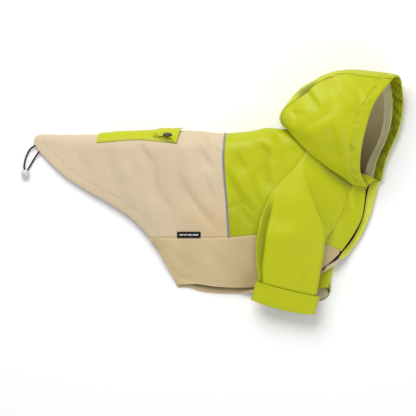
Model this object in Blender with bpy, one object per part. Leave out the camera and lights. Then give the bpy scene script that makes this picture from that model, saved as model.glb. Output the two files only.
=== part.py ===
"""Dog raincoat with raglan sleeves and a hood, lying on its left side on a flat surface.

The coat is drawn from above: X runs from the tail to the head, Y from the belly to the
back, and Z is the height over the surface.  Sizes are in millimetres and become metres
when a mesh is made.  "Near" is the side that faces up and "far" the one it lies on.
Every cut piece is a wall of cloth of its own, a small gap away from its neighbours.
"""

import math

import bpy
import numpy as np

# ------------------------------------------------------------------ driving sizes
MM = 0.001
BOX_MIDDLE = (3.2, -1.0)  # the plan point that becomes the origin
SHELL = 1.3  # wall of the outer cloth
LINING = 1.0  # wall of the mesh lining, the facings and the flat trim
SEAM = 0.6  # gap between two pieces that are sewn edge to edge
LAP = 0.8  # gap between two pieces that lie on each other
FOLD_POWER = 1.6  # 2 is a round fold of the back, 1 a straight bevel
PIPING_DIAMETER = 3.2
CORD_DIAMETER = 2.2
STOPPER_DIAMETER = 11.7
SNAP_DIAMETER = 12.5
CUFF_THICKNESS = 15.4
FAR_SLEEVE_THICKNESS = 8.4
FAR_SLEEVE_ROOM = 9.2  # how high the far side is lifted by the sleeve under it
BELLY_RISE = 150.0  # how far in from its lower edge the near side goes on rising
PIPING_X = 12.0
NAPE_X = 92.0
SEAM_SWING = 2.4  # how far the piped seam swings towards the head on the fold of the back

# The back's outline: where it runs, how thick the folded coat is there, and how far the
# rounding of the fold reaches in from the outline.
BACK = {
    "x": (-236.5, -235.0, -231.0, -224.0, -200.0, -160.0, -110.0, -60.0, -20.0, 12.0, 40.0, 70.0, 92.0,
          215.0),
    "y": (68.0, 70.4, 72.8, 73.8, 73.0, 73.6, 76.5, 78.4, 78.0, 75.0, 77.5, 82.0, 80.4, 80.0),
    "thick": (8.0, 9.0, 11.0, 14.0, 22.0, 34.0, 44.0, 49.0, 49.0, 47.0, 48.0, 50.0, 50.0, 44.0),
    "round": (3.0, 4.0, 5.4, 7.2, 11.0, 16.0, 19.0, 20.0, 20.0, 19.0, 19.0, 20.0, 20.0, 20.0),
}
# The slanting rear hem, then the belly and chest edge of each side, as x, y.
HEM = ((-236.5, 61.0), (-235.0, 58.4), (-230.0, 51.5), (-220.0, 41.0), (-200.0, 22.0), (-170.0, 2.0),
       (-140.0, -15.0), (-110.0, -35.5), (-92.0, -53.5), (-78.0, -72.0), (-64.0, -97.0), (-50.0, -122.0))
NEAR_EDGE = ((-50.0, -122.0), (-28.0, -120.6), (0.0, -124.4), (50.0, -125.0), (95.0, -118.0),
             (137.0, -101.0), (163.4, -78.0), (178.8, -56.0), (189.0, -36.0), (193.7, -9.7),
             (195.7, 3.4), (204.5, 13.7))
FAR_EDGE = ((-50.0, -125.2), (-36.0, -125.6), (-21.5, -130.0), (8.0, -133.2), (40.0, -132.6),
            (80.0, -128.0), (135.5, -108.7), (153.0, -97.0), (171.7, -82.0), (187.0, -60.7),
            (200.8, -29.8), (208.0, -3.7), (212.6, 12.6))
# How high the edge of the near side stands over the surface.
EDGE_HEIGHT = {
    "x": (-236.5, -225.0, -180.0, -100.0, -60.0, -48.0, -25.0, 20.0, 60.0, 140.0, 175.0, 204.0),
    "z": (4.6, 7.0, 10.0, 11.5, 9.0, 5.2, 9.0, 10.5, 15.5, 17.0, 15.0, 16.0),
}
# The seam over the belly panels, which drops towards the chest, and the piped seam.
BELLY_SEAM = {
    "x": (-90.0, -20.0, 16.0, 53.0, 95.0, 142.0, 153.0, 163.0),
    "y": (-61.0, -61.2, -60.2, -57.0, -59.0, -67.4, -73.4, -78.4),
}
PIPED_SEAM = {
    "y": (-62.0, -20.0, 15.0, 45.0, 80.0),
    "x": (16.6, 14.0, 11.0, 9.6, 12.6),
}
# The largest folds of the near side: troughs from one plan point to another.
FOLDS = (
    # from x, y      to x, y       half width  depth
    (-98.0, 58.0, -62.0, -20.0, 11.0, 3.2),
    (-20.0, 56.0, 4.0, -12.0, 9.0, 3.4),
    (-52.0, 26.0, 8.0, -48.0, 11.0, 3.0),
    (24.0, 26.0, 50.0, -40.0, 9.0, 3.2),
    (70.0, 34.0, 64.0, -8.0, 8.0, 2.8),
)
# Both sleeves from the cuff up to the neckline: the plan of the left and right edges, and on
# the near sleeve the share of the width at which its fold crest lies.
NEAR_SLEEVE = {
    "left": ((50.2, -136.6), (54.4, -117.4), (52.2, -98.0), (51.3, -80.0), (53.0, -58.0), (57.5, -38.0),
             (63.5, -21.0), (71.0, -4.8), (80.0, 8.3), (90.5, 19.7), (100.0, 29.5), (109.5, 40.0),
             (118.0, 54.5)),
    "right": ((124.4, -153.6), (130.6, -135.6), (136.6, -102.0), (140.6, -82.0), (142.2, -66.5),
              (151.5, -50.0), (158.0, -39.0), (163.5, -29.0), (167.0, -20.0), (168.8, -11.0),
              (170.8, -4.0), (174.5, 1.6), (180.5, 13.0)),
    # from the left edge, as a share of the width
    "crest": (0.965, 0.965, 0.965, 0.965, 0.955, 0.84, 0.71, 0.57, 0.45, 0.31, 0.18, 0.09, 0.05),
    # how high the crest and the left edge lie over the body, how far the whole sleeve stands off
    # it, and how deep the pleat beside the left edge is
    "crest_lift": (10.0, 10.0, 10.0, 10.0, 10.5, 10.0, 9.0, 8.0, 7.0, 6.0, 4.5, 3.2, 2.0),
    "left_lift": (5.0, 5.0, 5.0, 5.0, 4.5, 3.8, 3.2, 2.6, 2.0, 1.6, 1.4, 1.4, 1.4),
    "stand": (2.9, 2.6, 1.4, 0.8, 0.8, 0.8, 0.8, 0.8, 0.8, 0.8, 0.8, 0.8, 0.8),
    "pleat": (1.5, 2.4, 2.8, 3.2, 3.4, 3.0, 2.2, 1.0, 0.0, 0.0, 0.0, 0.0, 0.0),
}
FAR_SLEEVE = {
    "left": ((61.4, -119.0), (59.0, -106.0), (54.0, -84.0), (51.5, -60.0), (51.5, -44.0), (57.0, -27.0),
             (69.0, -8.0), (81.0, 7.0), (94.0, 21.0), (107.0, 34.5), (120.5, 50.0)),
    "right": ((149.0, -116.5), (150.6, -108.0), (153.4, -92.0), (151.0, -72.0), (148.0, -58.0),
              (150.6, -44.0), (155.0, -32.0), (160.0, -20.0), (165.0, -8.0), (169.0, 3.0), (172.5, 13.2)),
}
FAR_CUFF = {
    # the plan lines of its upper and lower layer at the opening, a row inside, and at the sleeve
    "upper": (((63.0, -133.0), (100.0, -131.5), (132.0, -128.2), (145.4, -125.6), (148.2, -127.4)),
              ((62.4, -127.0), (100.0, -126.0), (132.0, -123.6), (148.8, -121.6)),
              ((61.4, -119.35), (149.0, -116.85))),
    "lower": (((63.0, -143.0), (100.0, -146.0), (131.0, -144.0), (141.0, -140.6), (146.4, -135.6),
               (148.2, -130.4)),
              ((62.4, -132.0), (100.0, -132.6), (140.0, -130.0), (148.8, -126.0)),
              ((61.4, -119.35), (149.0, -116.85))),
    "top": (9.0, 8.8, 8.6),
}
UNDERARM_ROW = 4  # the row at which a sleeve opens into the body
# The seam of the back with the near sleeve, from the belly seam up to the neckline.
NEAR_RAGLAN = ((67.0, -56.0), (68.0, -28.0), (74.5, -7.0), (83.0, 6.4), (93.4, 18.2), (103.0, 28.0),
               (112.6, 38.6), (120.0, 51.0), (119.6, 61.0))

# The hood's near side, as lines from the nape to the rim: the neckline, the roll that
# overhangs it, three lines over the side and the seam of the crown.  Points are x, y, z.
HOOD_NEAR = (
    ((91.4, 82.6, 42.0), (103.0, 74.5, 46.6), (124.5, 54.5, 46.4), (149.0, 35.0, 39.4),
     (168.0, 22.0, 31.6), (184.5, 13.0, 22.8), (195.0, 12.0, 19.6)),
    ((89.4, 83.2, 46.0), (99.7, 71.3, 50.0), (121.0, 50.5, 50.4), (146.0, 31.0, 43.6), (165.0, 18.0, 36.0),
     (181.5, 7.2, 26.5), (192.6, 7.8, 24.0)),
    ((88.8, 84.3, 47.0), (98.0, 77.0, 56.0), (124.0, 62.0, 62.0), (150.0, 46.0, 59.0), (168.0, 35.0, 54.0),
     (187.0, 26.0, 44.0)),
    ((88.1, 85.4, 48.0), (94.0, 85.0, 59.0), (128.0, 82.0, 73.0), (158.0, 73.0, 74.0), (189.6, 62.0, 66.0)),
    ((87.5, 86.5, 48.5), (90.5, 93.0, 58.0), (112.0, 103.0, 70.0), (142.0, 114.0, 79.0), (172.0, 113.0, 78.0),
     (204.0, 111.6, 72.0)),
    ((87.0, 87.6, 49.0), (84.8, 93.0, 51.0), (86.2, 101.5, 54.0), (100.0, 117.0, 62.0),
     (114.0, 126.0, 66.0), (128.0, 138.5, 68.0), (146.0, 150.0, 68.0), (170.0, 153.3, 67.0),
     (195.0, 149.5, 64.0), (228.4, 146.0, 58.0)),
)
CROWN = ((88.2, 83.0, 26.0), (84.2, 88.0, 28.0), (82.5, 93.8, 29.0), (83.6, 100.4, 31.0),
         (93.7, 116.4, 34.0), (106.8, 130.6, 36.0), (123.4, 142.0, 36.0), (141.2, 151.4, 37.0),
         (162.5, 157.0, 37.0), (188.6, 157.3, 37.0), (212.3, 155.2, 37.0), (237.0, 150.4, 38.0))
# The far side, from the crown's other seam down to its neckline.
HOOD_FAR = (
    ((87.4, 87.4, 8.0), (85.4, 93.5, 7.0), (86.8, 101.5, 6.0), (100.0, 116.0, 5.0), (114.0, 126.0, 5.0),
     (128.0, 138.0, 5.0), (146.0, 148.5, 5.0), (170.0, 152.0, 6.0), (200.0, 149.5, 8.0),
     (241.0, 138.0, 15.0)),
    ((87.9, 86.4, 6.0), (93.0, 92.0, 3.0), (112.0, 103.0, 0.0), (150.0, 113.0, 0.0), (200.0, 111.0, 0.0),
     (242.8, 112.0, 12.0)),
    ((88.5, 85.3, 5.0), (97.0, 84.0, 2.0), (128.0, 82.0, 0.0), (170.0, 79.0, 0.0), (212.0, 73.0, 0.0),
     (236.6, 77.0, 10.0)),
    ((89.2, 84.2, 4.0), (101.0, 77.0, 1.0), (124.0, 62.0, 0.0), (160.0, 48.0, 0.0), (196.0, 38.0, 0.0),
     (221.4, 42.0, 8.0)),
    ((90.8, 83.0, 3.0), (104.0, 71.0, 0.0), (122.0, 51.4, 0.0), (146.0, 32.4, 0.0), (168.0, 17.8, 0.0),
     (188.0, 9.6, 2.8), (200.0, 8.6, 4.4), (214.2, 12.4, 6.6)),
)
HOOD_COLUMNS = (0.0, 0.05, 0.11, 0.18, 0.27, 0.36, 0.45, 0.54, 0.63, 0.72, 0.80, 0.87, 0.932, 1.0)
FACING_COLUMN = 12  # the hood's column at which the lining stops and the facing starts

# The band at the bottom of the opening, as its upper and lower line.
THROAT = (((185.0, 15.0, 19.2), (193.0, 15.2, 17.6), (199.0, 15.1, 16.4), (205.4, 14.4, 14.6)),
          ((184.0, 24.0, 17.6), (193.0, 21.8, 16.6), (200.0, 19.6, 14.8), (209.6, 14.8, 12.6)))

# Leash flap and snap tab on the fold of the back, the label, and the tail cord.
FLAP = {"x": (-156.0, -51.0), "top_x": (-150.0, -54.0), "y": (62.0, 63.6, 65.6, 65.6, 63.6, 61.4)}
TAB = {"low_left": (-80.5, 70.8), "low_right": (-51.7, 61.3), "top_left": -74.0, "top_right": -43.0}
SNAP_PLACE = (-63.0, 46.0)  # x, and the angle round the fold of the back, from 0 to 90
LABEL_BOX = (-50.6, -20.0, -61.0, -53.0)  # x from, x to, y from, y to
CORD_UPPER = ((-235.5, 58.9, 4.4), (-241.4, 54.6, 3.2), (-245.8, 46.7, 1.9), (-248.6, 37.7, 2.4),
              (-249.4, 32.8, 3.8), (-249.05, 28.6, 5.1))
CORD_LOWER = ((-230.1, 51.0, 5.4), (-234.4, 44.8, 3.4), (-238.6, 38.0, 2.2), (-242.3, 31.6, 3.5),
              (-244.65, 27.8, 4.9))
CORD_POINTS = 8
STOPPER_PLACE = (-247.8, 22.5)


# ------------------------------------------------------------------ curves and lofts
def spline(knots, values, at):
    """Smooth curve through values at rising knots, with tangents from its neighbours."""
    knots = np.asarray(knots, float)
    values = np.asarray(values, float)
    flat = values.ndim == 1
    if flat:
        values = values[:, None]
    at = np.clip(np.asarray(at, float), knots[0], knots[-1])
    step = np.diff(knots)
    slope = np.diff(values, axis=0) / step[:, None]
    tangent = np.empty_like(values)
    tangent[0], tangent[-1] = slope[0], slope[-1]
    share = (step[:-1] / (step[:-1] + step[1:]))[:, None]
    tangent[1:-1] = slope[:-1] * (1 - share) + slope[1:] * share
    i = np.clip(np.searchsorted(knots, at, side="right") - 1, 0, len(step) - 1)
    t = ((at - knots[i]) / step[i])[..., None]
    h = step[i][..., None]
    found = (
        values[i] * (1 + 2 * t) * (1 - t) ** 2
        + tangent[i] * h * t * (1 - t) ** 2
        + values[i + 1] * t**2 * (3 - 2 * t)
        + tangent[i + 1] * h * t**2 * (t - 1)
    )
    return found[..., 0] if flat else found


def walked(line):
    """How far along a line each of its points lies."""
    return np.concatenate([[0.0], np.cumsum(np.linalg.norm(np.diff(line, axis=0), axis=1))])


def through(points, shares):
    """Points at these shares of the length of the smooth curve through the given ones."""
    points = np.asarray(points, float)
    shares = np.linspace(0, 1, shares) if isinstance(shares, int) else np.asarray(shares, float)
    knots = walked(points)
    fine = spline(knots, points, np.linspace(0, knots[-1], 400))
    along = walked(fine)
    columns = [np.interp(shares * along[-1], along, fine[:, k]) for k in range(points.shape[1])]
    return np.stack(columns, axis=1)


def loft(lines, columns, rows):
    """A grid that runs smoothly through the lines, each a curve given by a few points."""
    curves = np.array([through(line, columns) for line in lines])
    wanted = np.linspace(0, len(lines) - 1, rows)
    flat = spline(np.arange(len(lines)), curves.reshape(len(lines), -1), wanted)
    return flat.reshape(rows, curves.shape[1], -1)


def patch(low, high, left, right):
    """A plan grid inside four border lines that share their corners (a Coons patch)."""
    v = np.linspace(0, 1, len(left))[:, None, None]
    u = np.linspace(0, 1, len(low))[None, :, None]
    corners = (low[0] * (1 - u) + low[-1] * u) * (1 - v) + (high[0] * (1 - u) + high[-1] * u) * v
    return low[None] * (1 - v) + high[None] * v + left[:, None] * (1 - u) + right[:, None] * u - corners


def smoothstep(value, low, high):
    t = np.clip((value - low) / (high - low), 0, 1)
    return t * t * (3 - 2 * t)


# ------------------------------------------------------------------ form of the body
EDGE_LINE = np.concatenate([through(HEM, 160), through(NEAR_EDGE, 260)])
BEYOND_SEAM = EDGE_LINE[:, 1] < spline(BELLY_SEAM["x"], BELLY_SEAM["y"], EDGE_LINE[:, 0])
CORNER_X = EDGE_LINE[np.argmax(BEYOND_SEAM), 0]  # where the rear hem meets the belly seam


def back_y(x):
    return spline(BACK["x"], BACK["y"], x)


def back_round(x):
    return spline(BACK["x"], BACK["round"], x)


def hem_y(x):
    return np.interp(x, EDGE_LINE[:, 0], EDGE_LINE[:, 1])


def belly_seam_y(x):
    return spline(BELLY_SEAM["x"], BELLY_SEAM["y"], x)


def piped_seam_x(y):
    return spline(PIPED_SEAM["y"], PIPED_SEAM["x"], y)


def fold_depth(x, y):
    """How far the largest folds push the near side down at a plan point."""
    total = np.zeros_like(x)
    for x0, y0, x1, y1, width, depth in FOLDS:
        way = np.array([x1 - x0, y1 - y0])
        length = np.linalg.norm(way)
        way = way / length
        along = (x - x0) * way[0] + (y - y0) * way[1]
        off = (x - x0) * way[1] - (y - y0) * way[0]
        taper = smoothstep(along, -4, 0.35 * length) * (1 - smoothstep(along, 0.65 * length, length + 6))
        total = total + depth * taper * np.exp(-((off / width) ** 2))
    return total


def loft_height(x, y):
    """Height of the near side over the surface, before the fold of the back is rounded."""
    away = np.min(np.hypot(x[..., None] - EDGE_LINE[:, 0], y[..., None] - EDGE_LINE[:, 1]), axis=-1)
    outside = (y < hem_y(x)) | (x > EDGE_LINE[-1, 0])
    rise = 1 - (1 - np.clip(np.where(outside, 0.0, away) / BELLY_RISE, 0, 1)) ** 1.8
    low = spline(EDGE_HEIGHT["x"], EDGE_HEIGHT["z"], x)
    return low + (spline(BACK["x"], BACK["thick"], x) - low) * rise


def roundness(x, y):
    """Share of the way round the fold of the back: 0 on the outline, 1 past the rounding."""
    share = np.clip((back_y(x) - y) / back_round(x), 0, 1)
    return (1 - (1 - share) ** FOLD_POWER) ** (1 / FOLD_POWER)


def near_height(x, y):
    return loft_height(x, y) * (0.5 + 0.5 * roundness(x, y)) - fold_depth(x, y)


def far_lift(x, y):
    """How far the far side is lifted where its own sleeve lies under it."""
    over = smoothstep(x, 24, 50) * (1 - smoothstep(x, 155, 177))
    return FAR_SLEEVE_ROOM * over * (1 - smoothstep(y, -58, -46))


def far_height(x, y):
    return loft_height(x, y) * (0.5 - 0.5 * roundness(x, y)) + far_lift(x, y)


def on_near(plan, above=0.0):
    """Plan points laid on the near side, or a little above it."""
    x, y = plan[..., 0], plan[..., 1]
    return np.stack([x, y, near_height(x, y) + above], axis=-1)


def on_far(plan, above=0.0):
    x, y = plan[..., 0], plan[..., 1]
    return np.stack([x, y, far_height(x, y) + above], axis=-1)


def on_fold(x, angle, above=0.0):
    """Points on the fold of the back: 90 degrees is its top, 0 its outline, -90 its underside."""
    turn = np.radians(angle)
    reach = np.abs(np.cos(turn)) ** (2 / FOLD_POWER)
    rise = np.sign(np.sin(turn)) * np.abs(np.sin(turn)) ** (2 / FOLD_POWER)
    y = back_y(x) - back_round(x) * (1 - reach)
    folds = np.where(rise > 0, fold_depth(x, y), 0.0)
    z = loft_height(x, y) * (0.5 + 0.5 * rise) - folds
    return np.stack([x, y + above * np.cos(turn), z + above * np.sin(turn)], axis=-1)


def fold_angle(x, y):
    """The angle of on_fold at which the fold of the back passes over a plan point."""
    reach = np.clip(1 - (back_y(x) - y) / back_round(x), 0, 1)
    return np.degrees(np.arccos(reach ** (FOLD_POWER / 2)))


TURN = (68, 48, 30, 14, 0, -14, -30, -48, -68)


def over_the_back(near_plan, far_plan, across):
    """Rows from the near side's lower edge, over the fold of the back, to the far side's."""
    rows = [on_near(near_plan)]
    for angle in TURN:
        x = across(angle)
        rows.append(on_fold(x, np.full_like(x, angle))[None])
    rows.append(on_far(far_plan[::-1]))
    return np.concatenate(rows)


def seam_swing(angle):
    """How far the piped seam has swung towards the head at an angle of the fold."""
    return SEAM_SWING * np.cos(np.radians(angle)) ** 2


# ------------------------------------------------------------------ materials and meshes
def finish(name, colour, roughness, metallic=0.0):
    made = bpy.data.materials.new(name)
    made.use_nodes = True
    shader = made.node_tree.nodes["Principled BSDF"]
    shader.inputs["Base Color"].default_value = (*colour, 1.0)
    shader.inputs["Roughness"].default_value = roughness
    shader.inputs["Metallic"].default_value = metallic
    return made


def place(points):
    """Points in millimetres as places in metres round the part's origin."""
    return ((np.asarray(points, float) - np.array([*BOX_MIDDLE, 0.0])) * MM).tolist()


def add_mesh(name, points, faces, look):
    mesh = bpy.data.meshes.new(name)
    mesh.from_pydata(place(points), [], [list(map(int, face)) for face in faces])
    mesh.materials.append(look)
    mesh.shade_smooth()
    mesh.set_sharp_from_angle(angle=math.radians(50))
    made = bpy.data.objects.new(name, mesh)
    bpy.context.scene.collection.objects.link(made)
    return made


def normals(grid, ring=False):
    """Unit normals of a grid of points; a ring's columns run on from the last to the first."""
    down = np.gradient(grid, axis=0)
    if ring:
        along = np.roll(grid, -1, axis=1) - np.roll(grid, 1, axis=1)
    else:
        along = np.gradient(grid, axis=1)
    normal = np.cross(along, down)
    return normal / np.maximum(np.linalg.norm(normal, axis=-1, keepdims=True), 1e-9)


def grid_faces(rows, columns, ring=False, kept=None):
    """Quads of a grid numbered row by row; `kept` may leave some of them out."""
    faces = []
    for r in range(rows - 1):
        for c in range(columns if ring else columns - 1):
            here, after = r * columns + c, r * columns + (c + 1) % columns
            if kept is None or kept(r, c):
                faces.append((here, after, after + columns, here + columns))
    return faces


def wall(name, outer, inner, faces, look):
    """A closed wall of cloth between two skins that share the same faces."""
    used = sorted({k for face in faces for k in face})
    number = {k: n for n, k in enumerate(used)}
    faces = [tuple(number[k] for k in face) for face in faces]
    outer = np.asarray(outer).reshape(-1, 3)[used]
    inner = np.asarray(inner).reshape(-1, 3)[used]
    count = len(used)
    edges = {(a, b) for face in faces for a, b in zip(face, face[1:] + face[:1])}
    closed = list(faces)
    closed += [tuple(count + k for k in reversed(face)) for face in faces]
    closed += [(b, a, count + a, count + b) for a, b in sorted(edges) if (b, a) not in edges]
    return add_mesh(name, np.concatenate([outer, inner]), closed, look)


def panel(name, grid, look, thickness=SHELL, ring=False, kept=None, outward=None):
    """A wall on the grid: its outer skin is the grid, and the cloth lies under it."""
    outward = normals(grid, ring) if outward is None else outward
    return wall(name, grid, grid - outward * thickness, grid_faces(*grid.shape[:2], ring, kept), look)


def upright(name, grid, look, thickness):
    """A wall whose outer skin is the grid and whose cloth lies straight below it."""
    return wall(name, grid, grid - np.array([0.0, 0.0, thickness]), grid_faces(*grid.shape[:2]), look)


def tube(name, path, diameter, look, sides=8, across=(0.0, 0.0, 1.0)):
    """A closed round tube along a path that never runs along `across`, with flat ends."""
    path = np.asarray(path, float)
    along = np.gradient(path, axis=0)
    along /= np.linalg.norm(along, axis=1, keepdims=True)
    side = np.cross(along, across)
    side /= np.maximum(np.linalg.norm(side, axis=1, keepdims=True), 1e-6)
    up = np.cross(side, along)
    turn = np.linspace(0, 2 * math.pi, sides, endpoint=False)
    ring = side[:, None] * np.cos(turn)[None, :, None] + up[:, None] * np.sin(turn)[None, :, None]
    points = path[:, None] + ring * diameter / 2
    faces = grid_faces(len(path), sides, ring=True)
    last = (len(path) - 1) * sides
    faces.append(tuple(reversed(range(sides))))
    faces.append(tuple(last + k for k in range(sides)))
    faces = [tuple(reversed(face)) for face in faces]
    return add_mesh(name, points.reshape(-1, 3), faces, look)


def turned(name, profile, centre, axis, look, sides=24):
    """A closed round piece: the profile (radius, height) turned about an axis."""
    axis = np.asarray(axis, float) / np.linalg.norm(axis)
    side = np.cross(axis, (1.0, 0.0, 0.0))
    side /= np.linalg.norm(side)
    other = np.cross(axis, side)
    turn = np.linspace(0, 2 * math.pi, sides, endpoint=False)
    spoke = side[None] * np.cos(turn)[:, None] + other[None] * np.sin(turn)[:, None]
    inner = profile[1:-1]
    points = [np.asarray(centre) + axis * profile[0][1]]
    points += [np.asarray(centre) + axis * height + way * radius for radius, height in inner for way in spoke]
    points.append(np.asarray(centre) + axis * profile[-1][1])
    faces = [(0, 1 + (k + 1) % sides, 1 + k) for k in range(sides)]
    for r in range(len(inner) - 1):
        start = 1 + r * sides
        here = [(start + k, start + (k + 1) % sides) for k in range(sides)]
        faces += [(a, b, b + sides, a + sides) for a, b in here]
    start = 1 + (len(inner) - 1) * sides
    faces += [(start + k, start + (k + 1) % sides, len(points) - 1) for k in range(sides)]
    return add_mesh(name, points, faces, look)


# ------------------------------------------------------------------ the body's cut pieces
def back_panel(look):
    """The rear of the coat: seam to seam over the back, with the slanting hem behind."""
    share = np.linspace(0, 1, 22) ** 1.25
    tail = BACK["x"][0]
    right = PIPING_X - 1.0
    foot_x = tail + share * (right - tail)
    foot_x[np.argmin(abs(foot_x - CORNER_X))] = CORNER_X
    foot_y = np.where(foot_x <= CORNER_X, hem_y(foot_x), belly_seam_y(foot_x) + SEAM)
    top_y = back_y(foot_x) - back_round(foot_x)
    y = foot_y + (top_y - foot_y) * np.linspace(0, 1, 8)[:, None]
    bend = (piped_seam_x(y) - PIPING_DIAMETER / 2 - SEAM - right) * share**6
    near = np.stack([foot_x + bend, y], axis=-1)

    def across(angle):
        return near[-1, :, 0] + seam_swing(angle) * share**6

    grid = over_the_back(near, near[[0, 2, 4, 6, 7]], across)
    thinner = 1 - 0.3 * np.clip(1 - share / 0.1, 0, 1)
    panel("back_panel", grid, look, SHELL * thinner[None, :, None])


def shoulder_panel(look):
    """The front of the back, from the piping to the neckline and the sleeves' seams."""
    left_y = np.linspace(belly_seam_y(PIPING_X) + SEAM, back_y(PIPING_X) - back_round(PIPING_X), 8)
    left = np.stack([piped_seam_x(left_y) + PIPING_DIAMETER / 2 + SEAM, left_y], axis=-1)
    sides = []
    far_seam = [(x - 1.6, y + 0.5) for x, y in FAR_SLEEVE["left"][UNDERARM_ROW - 1:-1]]
    for seam in (NEAR_RAGLAN, (*far_seam, (117.2, 51.6), (112.4, 61.2))):
        right = through(seam, 8)
        low = np.linspace(left[0], right[0], 9)
        low[:, 1] = belly_seam_y(low[:, 0]) + SEAM
        right[0] = low[-1]
        high = np.linspace(left[-1], right[-1], 9)
        high[:, 1] = back_y(high[:, 0]) - back_round(high[:, 0])
        sides.append(patch(low, high, left, np.concatenate([right[:-1], high[-1:]])))

    neck = through(HOOD_FAR[-1], 60)

    def neckline(angle):
        y = on_fold(np.array([NAPE_X]), np.array([float(angle)]))[0, 1]
        end = np.interp(-y, -neck[:, 1], neck[:, 0]) - 2 * SEAM
        if angle > 0:
            end += 2.0 * math.sin(math.radians(angle))
        return np.linspace(left[-1, 0] + seam_swing(angle), end, 9)

    grid = over_the_back(sides[0], sides[1][[0, 2, 3, 4, 5, 6, 7]], neckline)
    panel("shoulder_panel", grid, look)


def side_panels(look):
    """The belly panels below the long seam, one on each side."""
    columns = 19
    x = np.linspace(CORNER_X + 0.8, 161.4, columns)
    seam = np.stack([x, belly_seam_y(x) - SEAM / 2], axis=-1)
    share = np.linspace(0, 1, columns)
    hem = EDGE_LINE[(EDGE_LINE[:, 0] >= CORNER_X) & (EDGE_LINE[:, 0] <= NEAR_EDGE[0][0])]
    for name, edge, stop, lay in (
        ("side_panel_near", NEAR_EDGE, (161.8, -79.4), on_near),
        ("side_panel_far", FAR_EDGE, (162.0, -90.4), on_far),
    ):
        line = through(edge, 400)
        line = line[line[:, 0] <= stop[0]]
        low = through(line[::8], share)
        high = seam.copy()
        if name == "side_panel_far":
            high[-1] = (162.6, -88.8)
            high[-2] = (154.5, -78.6)
            high[-3, 1] -= 3.0
        left = through(np.concatenate([low[:1], hem[-8::-6], high[:1]]), 5)
        right = np.linspace(low[-1], high[-1], 5)
        plan = patch(low, high, left, right)
        if name == "side_panel_near":
            panel(name, on_near(plan), look)
        else:
            panel(name, on_far(plan)[:, ::-1], look)


def chest_panels(look):
    """The green fronts between the sleeves' front seams and the edges of the closure."""
    near_left = np.array(NEAR_SLEEVE["right"][UNDERARM_ROW:]) - (2.4, 0.0)
    near_left = through(near_left[::-1], 10)[::-1]
    near_right = through([p for p in NEAR_EDGE if p[1] > -79], 10)
    low_x = np.linspace(near_left[0, 0], near_right[0, 0], 4)
    low = np.stack([low_x, belly_seam_y(low_x) + SEAM / 2], axis=-1)
    near_left[0], near_right[0] = low[0], low[-1]
    high = through((near_left[-1], (192.0, 14.5), near_right[-1]), 4)
    panel("chest_panel_near", on_near(patch(low, high, near_left, near_right)), look)
    far_left = np.array(FAR_SLEEVE["right"][UNDERARM_ROW:]) + (SEAM + 0.4, 0.0)
    far_left = through(np.concatenate([[(149.6, -68.0)], far_left]), 10)
    far_right = through([p for p in FAR_EDGE if p[1] > -83], 9) - (1.2, 0.0)
    far_right = np.concatenate([[(162.6, -87.2)], far_right])
    low = through((far_left[0], (156.0, -78.6), far_right[0]), 7)
    high = through((far_left[-1], (191.0, 9.6), far_right[-1]), 7)
    panel("chest_panel_far", on_far(patch(low, high, far_left, far_right))[:, ::-1], look)


def closure(green, sand, black):
    """The far front edge's band, in two colours, and the hook tape beside it."""
    outer = through(FAR_EDGE, 400)
    inner = through(((144.4, -95.7), (156.3, -90.0), (165.8, -78.5), (174.7, -68.0), (187.7, -44.0),
                     (193.7, -24.0), (195.4, -11.0), (197.8, 1.0), (201.0, 11.0)), 200)
    for name, low, high, look, count in (
        ("placket_far", -87.0, 12.0, green, 12),
        ("placket_far_lower", -106.0, -88.6, sand, 4),
    ):
        edge = outer[(outer[:, 1] > low) & (outer[:, 1] < high) & (outer[:, 0] > 100)]
        strip = inner[(inner[:, 1] > low + 1) & (inner[:, 1] < high - 1)]
        plan = loft((strip, edge), count, 3).swapaxes(0, 1)
        upright(name, on_far(plan, SHELL + LAP + LINING + 0.2), look, LINING)
    tape_right = through(inner[(inner[:, 1] > -71) & (inner[:, 1] < 3)], 9) - (1.4, 0.0)
    tape = loft((tape_right - (15.0, -2.0), tape_right), 9, 3).swapaxes(0, 1)
    upright("hook_tape", on_far(tape, SHELL + 2 * LAP + LINING), black, LINING)


def piping(look):
    """The piped seam, from the near belly seam over the back to the far one."""
    near_y = np.linspace(belly_seam_y(PIPING_X) + 1.0, back_y(PIPING_X) - back_round(PIPING_X), 15)
    near = on_near(np.stack([piped_seam_x(near_y), near_y], axis=-1)) - (0.0, 0.0, 0.7)
    turn = np.arange(75.0, -76.0, -15.0)
    over = on_fold(near[-1, 0] + seam_swing(turn), turn, -0.7)
    far_y = near_y[::-2]
    far = np.stack([piped_seam_x(far_y), far_y, np.full_like(far_y, PIPING_DIAMETER / 2)], axis=-1)
    over[:, 2] = np.maximum(over[:, 2], PIPING_DIAMETER / 2)
    tube("piping", np.concatenate([near, over, far]), PIPING_DIAMETER, look, across=(1.0, 0.0, 0.0))


# ------------------------------------------------------------------ sleeves and cuffs
def sleeve_bed(x, y):
    """What the near sleeve lies on: the near side, and a slope beyond its lower edge."""
    beyond = np.clip(hem_y(x) - y, 0, None)
    return near_height(x, y) - 0.05 * beyond


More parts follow.
